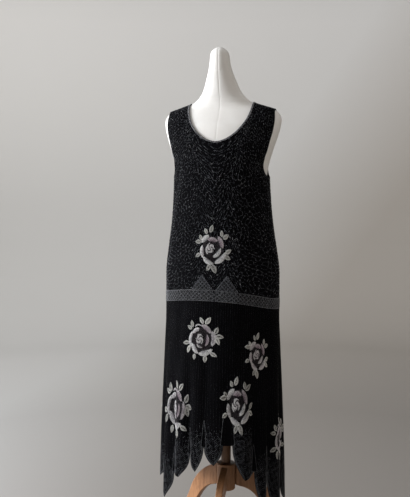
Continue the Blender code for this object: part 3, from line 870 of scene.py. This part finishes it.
def put_gaps(put, rng, taken, raised):
    """Plum beads where no petal lies."""
    pitch = ROSE_PITCH / ROSE_WIDE * 1.15
    steps = np.arange(-1, 1, pitch)
    x, y = [part.ravel() for part in np.meshgrid(steps, steps)]
    x = x + rng.uniform(-0.2, 0.2, x.size) * pitch
    y = y + rng.uniform(-0.2, 0.2, y.size) * pitch
    inside = np.hypot(x, y) < PLUM_REACH
    x, y = x[inside], y[inside]
    others = np.concatenate(taken)
    apart = np.hypot(x[:, None] - others[None, :, 0], y[:, None] - others[None, :, 1]).min(1)
    free = apart > pitch * 0.72
    share = rng.uniform(0, 1, free.sum())
    put(x[free], y[free], mixed(PLUM, JET, share), raised - 0.0003)


def put_leaves(put, rng, raised, leaves):
    """Pointed leaves: a light rim, greyer inside, and a dark vein."""
    pitch = ROSE_PITCH
    for leaf in leaves:
        length = LEAF_LENGTH * leaf.size * rng.uniform(0.94, 1.10)
        half = LEAF_HALF_WIDTH * leaf.size**0.7 * rng.uniform(0.92, 1.06)
        stalk = math.radians(leaf.turn + rng.uniform(-3, 3))
        lean = stalk + math.radians(leaf.lean + rng.uniform(-5, 5))
        base = np.array([math.cos(stalk) * ROSE_WIDE, math.sin(stalk) * ROSE_HIGH]) * STALK_REACH
        count = int(length / (pitch * 0.92)) + 1
        along = (np.arange(count) + 0.5) / count
        bow = half * np.sin(math.pi * along**0.85) ** 0.8
        shine = rng.uniform(0.75, 1.1)

        def leaf_beads(forward, across, colour, lift):
            x = base[0] + forward * math.cos(lean) - across * math.sin(lean)
            y = base[1] + forward * math.sin(lean) + across * math.cos(lean)
            put(x / ROSE_WIDE, y / ROSE_HIGH, colour, lift)

        for side in (-1, 1):
            for inset in range(4):
                off = bow - (inset + 0.4) * pitch * 0.8
                keep = off > pitch * (0.12 if inset == 0 else 0.40)
                if keep.any():
                    colour = mixed(LEAF_EDGE, LEAF, min(inset * 0.6, 1.0)) * shine
                    leaf_beads(along[keep] * length, side * off[keep], colour, raised + 0.0002)
        vein = np.arange(length * 0.12, length * 0.80, pitch)
        leaf_beads(vein, 0.0, PLUM, raised - 0.0005)


# Ground beads


def winding_field(u, v, wavelength, rng):
    """Waves of one length in every direction. Their level lines wind evenly all over."""
    turns = (np.arange(WINDING_WAVES) + rng.uniform(0, 1, WINDING_WAVES)) * math.pi / WINDING_WAVES
    phases = rng.uniform(0, 2 * math.pi, WINDING_WAVES)
    total = np.zeros_like(u)
    for turn, phase in zip(turns, phases):
        total += np.cos((u * math.cos(turn) + v * math.sin(turn)) * 2 * math.pi / wavelength + phase)
    return total


def zero_crossings(field, *grids):
    """Where the field changes sign between neighbours, with the grids' values there."""
    found = []
    for first, second in (
        ((slice(None, -1), slice(None)), (slice(1, None), slice(None))),
        ((slice(None), slice(None, -1)), (slice(None), slice(1, None))),
    ):
        a, b = field[first], field[second]
        cross = a * b < 0
        share = a[cross] / (a[cross] - b[cross])
        found.append([grid[first][cross] * (1 - share) + grid[second][cross] * share for grid in grids])
    return [np.concatenate(pair) for pair in zip(*found)]


def bodice_ground(facing, taken, rng):
    """Winding lines of black beads over a bodice panel, with painted glints in lighter beads."""
    angles, heights = bodice_grid(facing, 105, 60, (310, 90, 110))
    points = cloth_point(angles, heights)
    up = np.linalg.norm(np.diff(points, axis=1), axis=-1)
    v = np.concatenate([np.zeros((len(up), 1)), np.cumsum(up, axis=1)], axis=1)
    middle = np.argmin(np.abs(heights[0] - 1.2))
    u = walked_along(points[:, middle])[:, None] + 0 * v
    field = winding_field(u, v, WINDING_WAVELENGTH, rng)
    pairs = [
        zero_crossings(field + level, angles, heights, u, v)
        for level in (-WINDING_LEVEL, WINDING_LEVEL)
    ]
    angle, z, along, over = [np.concatenate(pair) for pair in zip(*pairs)]
    order = rng.permutation(len(angle))
    angle, z, along, over = angle[order], z[order], along[order], over[order]
    keep = spaced(cloth_point(angle, z), WINDING_SPACING, taken, CLEAR_OF_ROSE)
    beads = Beads()
    # Painted glints: pewter and silver beads in patches stand in for highlights, mixed with some random
    # tone
    patch = winding_field(along[keep], over[keep], PAINTED_GLINT_WAVELENGTH, rng) / 3.3
    shine = patch * 0.7 + rng.normal(0, 0.5, len(keep))
    colour = mixed(JET, SMOKE, smooth_step(shine * 0.5 + 0.6))
    colour = mixed(colour, PEWTER, smooth_step((shine - 0.1) * 0.9))
    colour = mixed(colour, SILVER, smooth_step((shine - 1.5) * 1.2) * 0.6)
    beads.add(angle[keep], z[keep], CLOTH_OUTSIDE + WINDING_BEAD * 0.5, WINDING_BEAD, colour)
    return beads


def skirt_ground(start, end, taken, rng):
    """Upright lines of black beads from the waistband to the hem."""
    beads = Beads()
    lines = []
    for k in range(SKIRT_LINES):
        degrees = -83.5 + 360 * (k + 0.5) / SKIRT_LINES
        if not start < degrees < end:
            continue
        angle = math.radians(degrees)
        top = band_line(angle) - BAND_HEIGHT - 0.003
        low = hem_height(np.array(degrees)) + 0.003
        z = np.arange(top, low, -SKIRT_BEAD_STEP) + rng.uniform(0, SKIRT_BEAD_STEP)
        z = z + rng.uniform(-0.0002, 0.0002, len(z))
        sway = 0.0007 * np.sin(z * 60 + k * 1.7) + rng.uniform(-0.0003, 0.0003, len(z))
        lines.append(np.stack([angle + sway / 0.17, z], -1))
    line = np.concatenate(lines)
    angle, z = line[:, 0], line[:, 1]
    near = blocked(cloth_point(angle, z), taken, CLEAR_OF_ROSE)
    angle, z = angle[~near], z[~near]
    shine = rng.uniform(0, 1, len(angle))
    colour = mixed(BLACK, JET, smooth_step(shine * 0.7)) * 0.7
    colour = mixed(colour, SMOKE, smooth_step((shine - 0.93) * 20))
    beads.add(angle, z, CLOTH_OUTSIDE + GROUND_BEAD * 0.45, GROUND_BEAD, colour)
    return beads


# Waistband, hem and edgings


def band_beads(facing, rng):
    """Rows of beads with a light lattice and light borders, and the peaks over them."""
    beads = Beads()
    lift = BAND_OUTSIDE + BAND_BEAD * 0.5
    middle = 0.0 if facing < 0 else math.pi
    rows = int(BAND_HEIGHT / BAND_ROW)
    step = BAND_ROW / BAND_RADIUS
    for row in range(rows):
        down = (row + 0.5) / rows * BAND_HEIGHT
        angle = np.arange(-SIDE_ANGLE + 0.01, SIDE_ANGLE - 0.01, step) + (row % 2) * step / 2 + middle
        z = band_line(angle) - down
        share = lattice_share(angle * BAND_RADIUS, down)
        if row in (0, rows - 1):
            share = np.ones_like(share)
        shine = rng.uniform(0, 1, len(angle))
        colour = mixed(mixed(JET, SMOKE, shine), mixed(PEWTER, SILVER, shine * 0.35), share)
        beads.add(angle, z, lift, BAND_BEAD, colour)
    for side in (-1, 1):
        for row in range(int(PEAK_HEIGHT / BAND_ROW)):
            over = (row + 0.4) * BAND_ROW
            xs = side * (np.arange(PEAK_INNER, PEAK_OUTER, BAND_ROW) + (row % 2) * BAND_ROW / 2)
            room = peak(xs) - over
            keep = room > 0.0006
            xs, room = xs[keep], room[keep]
            if not len(xs):
                continue
            line = band_line(np.zeros_like(xs) + middle)
            angle = ring_angle(xs, line + over, facing)
            edge = smooth_step((0.0062 - room) / 0.0030)
            share = np.maximum(edge, lattice_share(xs, over) * 0.8)
            shine = rng.uniform(0, 1, len(xs))
            colour = mixed(mixed(BLACK, JET, shine), mixed(PEWTER, PEAK_LINE, shine), share)
            beads.add(angle, band_line(angle) + over, lift, BAND_BEAD, colour)
    return beads


def lattice_share(across, up):
    """How much each place belongs to a lattice of slanting lines."""
    first = np.abs(((across + up) / LATTICE_PITCH) % 1 - 0.5)
    second = np.abs(((across - up) / LATTICE_PITCH) % 1 - 0.5)
    return smooth_step((np.maximum(first, second) - 0.30) * 9)


def petal_beads(petals, all_petals, rng):
    """Grey beading on the hem's petals: a border, slanting lines, and a line over a notch."""
    beads = Beads()
    lift = CLOTH_OUTSIDE + GROUND_BEAD * 0.75
    for petal in petals:
        before = all_petals[all_petals.index(petal) - 1]
        for side, notch in ((-1, before.notch), (1, petal.notch)):
            border_line(beads, petal, side, notch, lift, rng)
            notch_line(beads, petal, side, notch, lift, rng)
        hatch_lines(beads, petal, before, lift, rng)
    return beads


def petal_share(petal, notch, z):
    """How far out a petal's side is at a height: 0 at its tip and 1 at the notch."""
    up = np.clip((z - petal.tip) / (notch - petal.tip), 0.0, 1.0)
    return 1 - (1 - up) ** 2


def border_line(beads, petal, side, notch, lift, rng):
    """Two lines of beads inside one side of a petal."""
    z = np.arange(petal.tip + 0.004, notch + 0.004, 0.0010)
    for inset in (0.0022, 0.0048):
        share = petal_share(petal, notch, z)
        arc = share * math.radians(petal.half_angle) * HEM_RADIUS - inset * 1.15
        keep = arc > 0.0004
        degrees = petal.angle + side * np.degrees(arc[keep] / HEM_RADIUS)
        place(beads, np.radians(degrees), z[keep], lift, GREY_EDGE, rng, 0.0023)


def notch_line(beads, petal, side, notch, lift, rng):
    """A line of beads that rises from a notch along the valley."""
    z = np.arange(notch, notch + NOTCH_LINE_HEIGHT, 0.001)
    share = (z - notch) / NOTCH_LINE_HEIGHT
    valley = petal.angle + side * petal.half_angle
    off = math.degrees(0.0075 / HEM_RADIUS) * np.maximum(1 - share, 0.0) ** 0.8
    degrees = valley - side * off
    place(beads, np.radians(degrees), z, lift, GREY_EDGE, rng, 0.0024)


def hatch_lines(beads, petal, before, lift, rng):
    """Slanting lines that meet at the petal's middle, in patches that thin out upwards."""
    half = math.radians(petal.half_angle) * HEM_RADIUS
    top = max(before.notch, petal.notch) + HATCH_REACH
    for k in range(-30, 80):
        start = petal.tip + k * PETAL_HATCH
        for slant in (1, -1):
            arc = np.arange(0.0015, half, 0.0010)
            z = start + arc * 1.15
            notch = petal.notch if slant > 0 else before.notch
            share = petal_share(petal, notch, z)
            keep = (arc < share * half - 0.0065) & (z < top) & (z > petal.tip + 0.008)
            if not keep.any():
                continue
            degrees = petal.angle + slant * np.degrees(arc[keep] / HEM_RADIUS)
            line = Beads()
            place(line, np.radians(degrees), z[keep], lift, GREY_HATCH, rng, 0.0026)
            angle, height, _, _, colour = line.arrays()
            fade = smooth_step((top - height) / HATCH_REACH)
            patch = 0.5 + 0.5 * np.sin(height * 210 + angle * 31) * np.sin(angle * 57 - height * 90)
            stay = rng.uniform(0, 1, len(angle)) < fade * (0.45 + 0.55 * patch)
            shade = colour[stay] * (0.35 + 1.3 * patch[stay, None])
            beads.add(angle[stay], height[stay], lift, GROUND_BEAD, shade)


def place(beads, angle, z, lift, colours, rng, spacing):
    """Beads along a line of closely sampled places, evenly spaced."""
    if len(angle) == 0:
        return
    point = cloth_point(angle, z)
    walked = walked_along(point)
    steps = np.arange(0, walked[-1] + 1e-6, spacing)
    angle = np.interp(steps, walked, angle)
    z = np.interp(steps, walked, z)
    colour = mixed(colours[0], colours[1], rng.uniform(0, 1, len(steps)))
    beads.add(angle, z, lift, GROUND_BEAD, colour)


# Edgings


def neck_edge():
    """Ring angles and heights of the neck opening's edge, all the way round."""
    counts = (2, 2, 3)
    front_angle, front_z = bodice_grid(-1, 60, 4, counts)
    back_angle, back_z = bodice_grid(1, 60, 4, counts)
    inside = slice(4, -4)
    front = np.stack([front_angle[inside, -1], front_z[inside, -1]], -1)
    back = np.stack([back_angle[inside, -1], back_z[inside, -1]], -1)[::-1]
    return np.concatenate([front, back[1:-1]])


def arm_edge(side):
    """The same round an armhole, up the front and down the back."""
    counts = (1, 24, 36)
    column = -1 if side > 0 else 0
    front_angle, front_z = bodice_grid(-1, 4, 4, counts)
    back_angle, back_z = bodice_grid(1, 4, 4, counts)
    front = np.stack([front_angle[column, 1:], front_z[column, 1:]], -1)
    back = np.stack([back_angle[column, 1:], back_z[column, 1:]], -1)
    return np.concatenate([front, back[-2:0:-1]])


def edging_strip(name, edge, width, turn, thickness):
    """A flat bound strip over the cloth's edge, and the frame along it for rows of beads."""
    point, _, out = cloth_frame(edge[:, 0], edge[:, 1])
    along = unit(np.roll(point, -1, 0) - np.roll(point, 1, 0))
    over = unit(np.cross(along, out)) * turn
    section = [
        (0.0000, 0.0002),
        (0.0000, thickness * 0.8),
        (width * 0.2, thickness),
        (width * 0.8, thickness),
        (width, thickness * 0.7),
        (width, 0.0002),
    ]
    rings = np.stack([point + over * a + out * b for a, b in section], 1)
    count, sides = rings.shape[:2]
    index = numbered(count, sides)
    a, b = index, np.roll(index, -1, 0)
    c, d = np.roll(b, -1, 1), np.roll(a, -1, 1)
    faces = np.stack([a, d, c, b], -1).reshape(-1, 4)
    if turn < 0:
        faces = faces[:, ::-1]
    return add_mesh(name, rings, faces), point, out, over


def at_steps(values, walked, steps):
    """A closed line's values at distances walked along it."""
    full = np.concatenate([values, values[:1]])
    return np.stack([np.interp(steps, walked, full[:, i]) for i in range(3)], -1)


def strip_beads(name, point, out, over, rows, lift, colours, rng):
    """Beads at even steps along rows beside a closed line."""
    walked = walked_along(np.concatenate([point, point[:1]]))
    middles, axes, tints = [], [], []
    for k, row in enumerate(rows):
        count = int(walked[-1] / (EDGE_BEAD * 2.05))
        steps = (np.arange(count) + 0.5 * (k % 2)) / count * walked[-1]
        first = unit(at_steps(over, walked, steps))
        up = unit(at_steps(out, walked, steps))
        middles.append(at_steps(point, walked, steps) + first * row + up * lift)
        axes.append(np.stack([first, np.cross(up, first), up * 0.9], 1))
        tints.append(mixed(*colours, rng.uniform(0, 1, count)))
    return bead_mesh(
        name, np.concatenate(middles), np.concatenate(axes), EDGE_BEAD, np.concatenate(tints)
    )


# Materials


def new_material(name):
    made = bpy.data.materials.new(name)
    made.use_nodes = True
    nodes = made.node_tree.nodes
    return made, nodes, made.node_tree.links, nodes["Principled BSDF"]


def noise(nodes, links, coordinate, scale, detail=3.0):
    made = nodes.new("ShaderNodeTexNoise")
    made.inputs["Scale"].default_value = scale
    made.inputs["Detail"].default_value = detail
    links.new(coordinate, made.inputs["Vector"])
    return made


def ramp(nodes, links, factor, stops):
    made = nodes.new("ShaderNodeValToRGB")
    elements = made.color_ramp.elements
    while len(elements) < len(stops):
        elements.new(0.5)
    for element, (place_at, colour) in zip(elements, stops):
        element.position = place_at
        element.color = (*colour, 1.0)
    links.new(factor, made.inputs["Fac"])
    return made


def grey(value):
    return (value, value, value)


def set_bump(nodes, links, shader, height, strength, distance):
    made = nodes.new("ShaderNodeBump")
    made.inputs["Strength"].default_value = strength
    made.inputs["Distance"].default_value = distance
    links.new(height, made.inputs["Height"])
    links.new(made.outputs["Normal"], shader.inputs["Normal"])


def multiplied(nodes, links, first, second, factor=1.0):
    """The first node's colour times the second's, as far as the factor says."""
    mix = nodes.new("ShaderNodeMix")
    mix.data_type = "RGBA"
    mix.blend_type = "MULTIPLY"
    mix.inputs["Factor"].default_value = factor
    links.new(first.outputs["Color"], mix.inputs["A"])
    links.new(second.outputs["Color"], mix.inputs["B"])
    return mix.outputs["Result"]


def object_coordinates(nodes):
    return nodes.new("ShaderNodeTexCoord").outputs["Object"]


def bead_material(name, roughness, specular, metallic=0.0):
    """Glass beads: each bead's own colour, clouded a little, with uneven gloss."""
    made, nodes, links, shader = new_material(name)
    where = object_coordinates(nodes)
    tint = nodes.new("ShaderNodeAttribute")
    tint.attribute_name = "bead_colour"
    cloud = noise(nodes, links, where, 190.0)
    shade = ramp(nodes, links, cloud.outputs["Fac"], [(0.3, grey(0.72)), (0.7, grey(1.0))])
    links.new(multiplied(nodes, links, tint, shade), shader.inputs["Base Color"])
    gloss = noise(nodes, links, where, 420.0, 1.0)
    rough = ramp(
        nodes, links, gloss.outputs["Fac"], [(0.35, grey(roughness * 0.6)), (0.65, grey(roughness * 1.5))]
    )
    links.new(rough.outputs["Color"], shader.inputs["Roughness"])
    shader.inputs["Metallic"].default_value = metallic
    shader.inputs["Specular IOR Level"].default_value = specular
    return made


def cloth_material(name, dark, light):
    """Silk under close seed beads: small round grains over a fine weave."""
    made, nodes, links, shader = new_material(name)
    where = object_coordinates(nodes)
    cloud = noise(nodes, links, where, 9.0)
    grain = nodes.new("ShaderNodeTexVoronoi")
    grain.inputs["Scale"].default_value = GRAIN_SCALE
    links.new(where, grain.inputs["Vector"])
    fine = noise(nodes, links, where, GRAIN_SCALE * 2.2, 2.0)
    add = nodes.new("ShaderNodeMath")
    add.operation = "MULTIPLY_ADD"
    add.inputs[1].default_value = 0.6
    links.new(cloud.outputs["Fac"], add.inputs[0])
    links.new(fine.outputs["Fac"], add.inputs[2])
    colour = ramp(nodes, links, add.outputs["Value"], [(0.55, dark), (1.1, light)])
    links.new(colour.outputs["Color"], shader.inputs["Base Color"])
    rough = ramp(nodes, links, grain.outputs["Distance"], [(0.0, grey(0.66)), (0.7, grey(0.88))])
    links.new(rough.outputs["Color"], shader.inputs["Roughness"])
    shader.inputs["Specular IOR Level"].default_value = 0.02
    set_bump(nodes, links, shader, grain.outputs["Distance"], 0.55, 0.0006)
    return made


def jersey_material():
    """White cotton jersey: fine upright ribs of the knit, with a little yellowing."""
    made, nodes, links, shader = new_material("jersey_knit")
    where = object_coordinates(nodes)
    cloud = noise(nodes, links, where, 7.0, 5.0)
    colour = ramp(
        nodes,
        links,
        cloud.outputs["Fac"],
        [(0.30, (0.760, 0.745, 0.715)), (0.55, (0.830, 0.825, 0.805)), (0.75, (0.800, 0.785, 0.750))],
    )
    links.new(colour.outputs["Color"], shader.inputs["Base Color"])
    rib = nodes.new("ShaderNodeTexWave")
    rib.bands_direction = "X"
    rib.inputs["Scale"].default_value = 260.0
    rib.inputs["Distortion"].default_value = 1.2
    links.new(where, rib.inputs["Vector"])
    fuzz = noise(nodes, links, where, 900.0, 2.0)
    both = nodes.new("ShaderNodeMath")
    both.operation = "ADD"
    links.new(rib.outputs["Fac"], both.inputs[0])
    links.new(fuzz.outputs["Fac"], both.inputs[1])
    rough = ramp(nodes, links, fuzz.outputs["Fac"], [(0.3, grey(0.80)), (0.7, grey(0.96))])
    links.new(rough.outputs["Color"], shader.inputs["Roughness"])
    shader.inputs["Sheen Weight"].default_value = 0.15
    set_bump(nodes, links, shader, both.outputs["Value"], 0.25, 0.0004)
    return made


def wood_material(name, dark, light, gloss):
    """Wood with long grain, darker growth lines and small pores."""
    made, nodes, links, shader = new_material(name)
    where = object_coordinates(nodes)
    mapping = nodes.new("ShaderNodeMapping")
    mapping.inputs["Scale"].default_value = GRAIN_STRETCH
    links.new(where, mapping.inputs["Vector"])
    grain = noise(nodes, links, mapping.outputs["Vector"], 1.6, 6.0)
    grain.inputs["Distortion"].default_value = 0.8
    pores = noise(nodes, links, mapping.outputs["Vector"], 14.0, 2.0)
    colour = ramp(nodes, links, grain.outputs["Fac"], [(0.30, dark), (0.52, light), (0.74, dark)])
    flecks = ramp(nodes, links, pores.outputs["Fac"], [(0.36, grey(0.62)), (0.48, grey(1.0))])
    links.new(multiplied(nodes, links, colour, flecks, 0.7), shader.inputs["Base Color"])
    rough = ramp(nodes, links, pores.outputs["Fac"], [(0.3, grey(gloss + 0.2)), (0.6, grey(gloss))])
    links.new(rough.outputs["Color"], shader.inputs["Roughness"])
    set_bump(nodes, links, shader, pores.outputs["Fac"], 0.15, 0.0005)
    return made


def wall_material():
    """Plain paint with painted light and shade: paler far from the dress and up the wall, and a warmer
    painted shadow low on the right.
    """
    made, nodes, links, shader = new_material("studio_paint_painted_light")
    where = object_coordinates(nodes)
    # Painted light: the paint grows paler with distance from the middle of the floor, and so up the wall
    far = nodes.new("ShaderNodeVectorMath")
    far.operation = "LENGTH"
    links.new(where, far.inputs[0])
    share = nodes.new("ShaderNodeMapRange")
    share.inputs["From Max"].default_value = STUDIO_REACH
    links.new(far.outputs["Value"], share.inputs["Value"])
    paint = ramp(nodes, links, share.outputs["Result"], PAINT_AND_PAINTED_LIGHT)
    # Painted shadow: the paint turns warmer and darker low on the right
    lean = nodes.new("ShaderNodeVectorMath")
    lean.operation = "DOT_PRODUCT"
    lean.inputs[1].default_value = (1.0, 0.0, -0.7)
    links.new(where, lean.inputs[0])
    right = nodes.new("ShaderNodeMapRange")
    right.inputs["From Min"].default_value = -1.7
    right.inputs["From Max"].default_value = -0.2
    links.new(lean.outputs["Value"], right.inputs["Value"])
    shade = ramp(nodes, links, right.outputs["Result"], [(0.0, grey(1.0)), (1.0, PAINTED_WARM_SHADOW)])
    links.new(multiplied(nodes, links, paint, shade), shader.inputs["Base Color"])
    shader.inputs["Roughness"].default_value = 0.9
    return made


# Form and stand


def groove(distance):
    return np.exp(-((distance / SEAM_WIDTH) ** 2))


def form_point(turn, z):
    return section_point(FORM_ROWS.at(z), turn, z)


def form_mesh():
    """The torso and neck, with sewn seams at its front, back and sides and round the neck."""
    step = 2 * math.pi / FORM_SIDES
    turns = {round(k * step, 6) for k in range(FORM_SIDES)}
    for seam in FORM_SEAMS:
        for off in (-0.024, -0.016, -0.008, 0.008, 0.016, 0.024):
            turns.add(round((seam + off) % (2 * math.pi), 6))
    turns = np.array(sorted(turns))
    heights = set(np.arange(FORM[0].z, FORM[-1].z, FORM_ROW).tolist())
    heights |= {row.z for row in FORM}
    for seam in NECK_SEAMS:
        heights |= {seam + off for off in (-0.003, -0.0015, 0.0, 0.0015, 0.003)}
    heights = np.array(sorted(z for z in heights if z <= FORM[-1].z))
    gaps = np.diff(heights, prepend=-1)
    heights = heights[(gaps > 0.0007) | (heights == FORM[-1].z)]
    turn, z = np.meshgrid(turns, heights, indexing="ij")
    side = form_point(turn + 0.004, z) - form_point(turn - 0.004, z)
    reach = np.linalg.norm(side, axis=-1) / 0.008
    rise = form_point(turn, z + 0.0005) - form_point(turn, z - 0.0005)
    out = unit(np.cross(side, rise))
    sunk = np.zeros_like(turn)
    for seam in FORM_SEAMS:
        off = (turn - seam + math.pi) % (2 * math.pi) - math.pi
        sunk = np.maximum(sunk, groove(off * reach))
    for seam in NECK_SEAMS:
        sunk = np.maximum(sunk, groove(z - seam))
    point = form_point(turn, z) - out * (sunk * SEAM_DEPTH)[..., None]
    index = numbered(*turn.shape)
    ends = index[::-1, 0].tolist(), index[:, -1].tolist()
    return add_mesh("form_cover", point, grid_faces(index, np.roll(index, -1, 0)), ends)


def rounded_copy(node, name, bevel):
    """A copy of a stand's CAD solid with its edges rounded over."""
    made = linked(name, node.data.copy())
    body = bmesh.new()
    body.from_mesh(made.data)
    bmesh.ops.remove_doubles(body, verts=body.verts, dist=1e-5)
    bmesh.ops.dissolve_limit(body, angle_limit=math.radians(1), verts=body.verts, edges=body.edges)
    body.to_mesh(made.data)
    body.free()
    edge = made.modifiers.new("edge", "BEVEL")
    edge.width = bevel
    edge.segments = 3
    edge.limit_method = "ANGLE"
    edge.angle_limit = math.radians(40)
    made.data.shade_smooth()
    normals = made.modifiers.new("normals", "WEIGHTED_NORMAL")
    normals.keep_sharp = True
    return made


# Stage, light and camera


def add_stage():
    """A round studio floor whose rim rises into a plain wall all round."""
    sides, radius, rise = 96, 5.2, 1.2
    profile = [(0.02, 0.0), (2.5, 0.0), (radius - rise, 0.0)]
    for k in range(1, 13):
        turn = math.pi / 2 * k / 12
        profile.append((radius - rise + rise * math.sin(turn), rise - rise * math.cos(turn)))
    profile.append((radius, 5.5))
    turns = np.arange(sides) * 2 * math.pi / sides
    points = [[(r * math.cos(t), r * math.sin(t), z - 0.0005) for r, z in profile] for t in turns]
    index = numbered(sides, len(profile))
    made = add_mesh("studio", points, grid_faces(np.roll(index, -1, 0), index), [index[:, 0].tolist()])
    made.data.materials.append(wall_material())


def add_area_light(name, place, target, size, power, colour):
    light = bpy.data.lights.new(name, "AREA")
    light.shape = "RECTANGLE"
    light.size, light.size_y = size
    light.energy = power
    light.color = colour
    made = linked(name, light)
    made.location = place
    made.rotation_mode = "QUATERNION"
    made.rotation_quaternion = (Vector(target) - Vector(place)).to_track_quat("-Z", "Y")


def add_light():
    world = bpy.data.worlds.new("studio_air")
    bpy.context.scene.world = world
    world.use_nodes = True
    air = world.node_tree.nodes["Background"]
    air.inputs["Color"].default_value = (0.86, 0.86, 0.87, 1.0)
    air.inputs["Strength"].default_value = 0.50
    add_area_light("window", (-2.9, -0.7, 1.8), (0.0, 0.0, 1.05), (1.3, 2.0), 210.0, (0.97, 0.98, 1.0))
    add_area_light("bounce", (2.6, -2.6, 2.4), (0.0, 0.0, 0.9), (1.8, 1.8), 22.0, (1.0, 0.90, 0.80))
    add_area_light("wall_wash", (-2.2, 1.2, 2.9), (-1.5, 5.0, 2.1), (1.5, 1.5), 70.0, (1.0, 0.99, 0.97))
    bpy.context.scene.view_settings.view_transform = "Standard"


def add_camera():
    data = bpy.data.cameras.new("camera")
    data.lens = CAMERA_LENS
    data.sensor_width = 36.0
    made = linked("camera", data)
    made.location = CAMERA_PLACE
    made.rotation_euler = (
        math.radians(90 - CAMERA_DOWN),
        0.0,
        math.radians(CAMERA_AZIMUTH + CAMERA_PAN),
    )
    bpy.context.scene.camera = made


def finished(made, material, slot, *nodes):
    """Gives a piece its material, and lets it stand for its CAD nodes. The slot is not used."""
    made.data.materials.clear()
    made.data.materials.append(material)
    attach(made, "root")
    if nodes:
        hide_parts(*nodes)
    return made


Sheet = namedtuple("Sheet", "width length area")


def main():
    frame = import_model()
    rng = np.random.default_rng(SEED)
    black_cloth = cloth_material("beaded_silk", SILK, SILK_LIGHT)
    grey_cloth = cloth_material("waistband_silk", BLACK, JET)
    jet_beads = bead_material("jet_beads", 0.24, 0.16)
    grey_beads = bead_material("grey_beads", 0.30, 0.35, 0.10)
    rose_glass = bead_material("rose_beads", 0.38, 0.40)

    roses = {rose.name: rose_beads(rose, rng) for rose in ROSES}
    rose_points = np.concatenate([beads.points() for beads in roses.values()])
    for name, beads in roses.items():
        finished(beads.build(name, rng), rose_glass, "silver_beads")

    for facing, side in ((-1, "front"), (1, "back")):
        grid = bodice_grid(facing, *BODICE_COLUMNS, BODICE_ROWS)
        shell = cloth_wall("bodice_cloth_" + side, *grid, CLOTH_INSIDE, CLOTH_OUTSIDE, facing < 0)
        finished(shell, black_cloth, "beaded_cloth", "bodice_" + side)
        ground = bodice_ground(facing, rose_points, rng).build("bodice_beads_" + side, rng)
        finished(ground, jet_beads, "beaded_cloth")
        add_band(facing, side, grey_cloth, grey_beads, rng)

    add_skirts(rose_points, black_cloth, jet_beads, grey_beads, rng)
    add_edgings(grey_cloth, black_cloth, grey_beads, jet_beads, rng)
    add_form_and_stand(frame)
    add_stage()
    add_light()
    add_camera()


def add_band(facing, side, cloth, glass, rng):
    angles, heights = [], []
    for x, _, share in bodice_columns(*BODICE_COLUMNS):
        at_band = ring_angle(column_side(x, share, np.array([BAND_TOP])), BAND_TOP, facing)[0]
        line = band_line(at_band)
        over = peak(x) if share == 0 else 0.0
        rows = np.linspace(0, 1, 9)
        z = line - BAND_HEIGHT + rows * (BAND_HEIGHT + over)
        angles.append(ring_angle(column_side(x, share, z), z, facing))
        heights.append(z)
    shell = cloth_wall(
        "waistband_cloth_" + side, np.array(angles), np.array(heights), 0.0003, BAND_OUTSIDE, facing < 0
    )
    finished(shell, cloth, "silver_beads", "waistband_" + side)
    beads = finished(band_beads(facing, rng).build("waistband_beads_" + side, rng), glass, "silver_beads")


def add_skirts(rose_points, cloth, jet, grey_glass, rng):
    petals = FRONT_PETALS + BACK_PETALS
    halves = (
        ("front", FRONT_PETALS, LEFT_SEAM - 360 + SEAM_ANGLE, RIGHT_SEAM - SEAM_ANGLE, BACK_PETALS[-1]),
        ("back", BACK_PETALS, RIGHT_SEAM + SEAM_ANGLE, LEFT_SEAM - SEAM_ANGLE, FRONT_PETALS[-1]),
    )
    for side, own, start, end, before in halves:
        grid = skirt_grid(own, start, end, before)
        shell = cloth_wall("skirt_cloth_" + side, *grid, CLOTH_INSIDE, CLOTH_OUTSIDE, True)
        finished(shell, cloth, "beaded_cloth", "skirt_" + side)
        hem = petal_beads(own, petals, rng)
        taken = np.concatenate([rose_points, hem.points()])
        ground = skirt_ground(start, end, taken, rng).build("skirt_beads_" + side, rng)
        finished(ground, jet, "beaded_cloth")
        hem_piece = finished(hem.build("petal_beads_" + side, rng), grey_glass, "silver_beads")


def add_edgings(grey_cloth, black_cloth, grey_glass, jet, rng):
    strip, point, out, over = edging_strip("neck_binding", neck_edge(), NECK_EDGING, -1, 0.0016)
    finished(strip, grey_cloth, "silver_beads", "neck_edging")
    beads = strip_beads(
        "neck_beads", point, out, over, (0.0014, 0.0042), 0.0024, (PEWTER, SILVER), rng
    )
    finished(beads, grey_glass, "silver_beads")
    for side, word in ((-1, "left"), (1, "right")):
        strip, point, out, over = edging_strip(
            "armhole_binding_" + word, arm_edge(side), ARM_EDGING, side, 0.0014
        )
        finished(strip, black_cloth, "black_edging", "armhole_edging_" + word)
        beads = strip_beads(
            "armhole_beads_" + word, point, out, over, (0.0021,), 0.0021, (JET, SMOKE), rng
        )
        finished(beads, jet, "black_edging")


def add_form_and_stand(frame):
    cover = finished(form_mesh(), jersey_material(), "jersey", "form_torso")
    beech = wood_material("beech_wood", (0.300, 0.140, 0.062), (0.450, 0.225, 0.108), 0.34)
    brown = wood_material("brown_wood", (0.130, 0.062, 0.030), (0.240, 0.125, 0.065), 0.38)
    for name in LEG_NAMES:
        finished(rounded_copy(frame["nodes"][name], name + "_board", 0.0035), beech, "beech", name)
    finished(rounded_copy(frame["nodes"]["hub"], "hub_turned", 0.001), beech, "beech", "hub")
    finished(rounded_copy(frame["nodes"]["pole"], "pole_turned", 0.0006), brown, "brown_wood", "pole")


main()
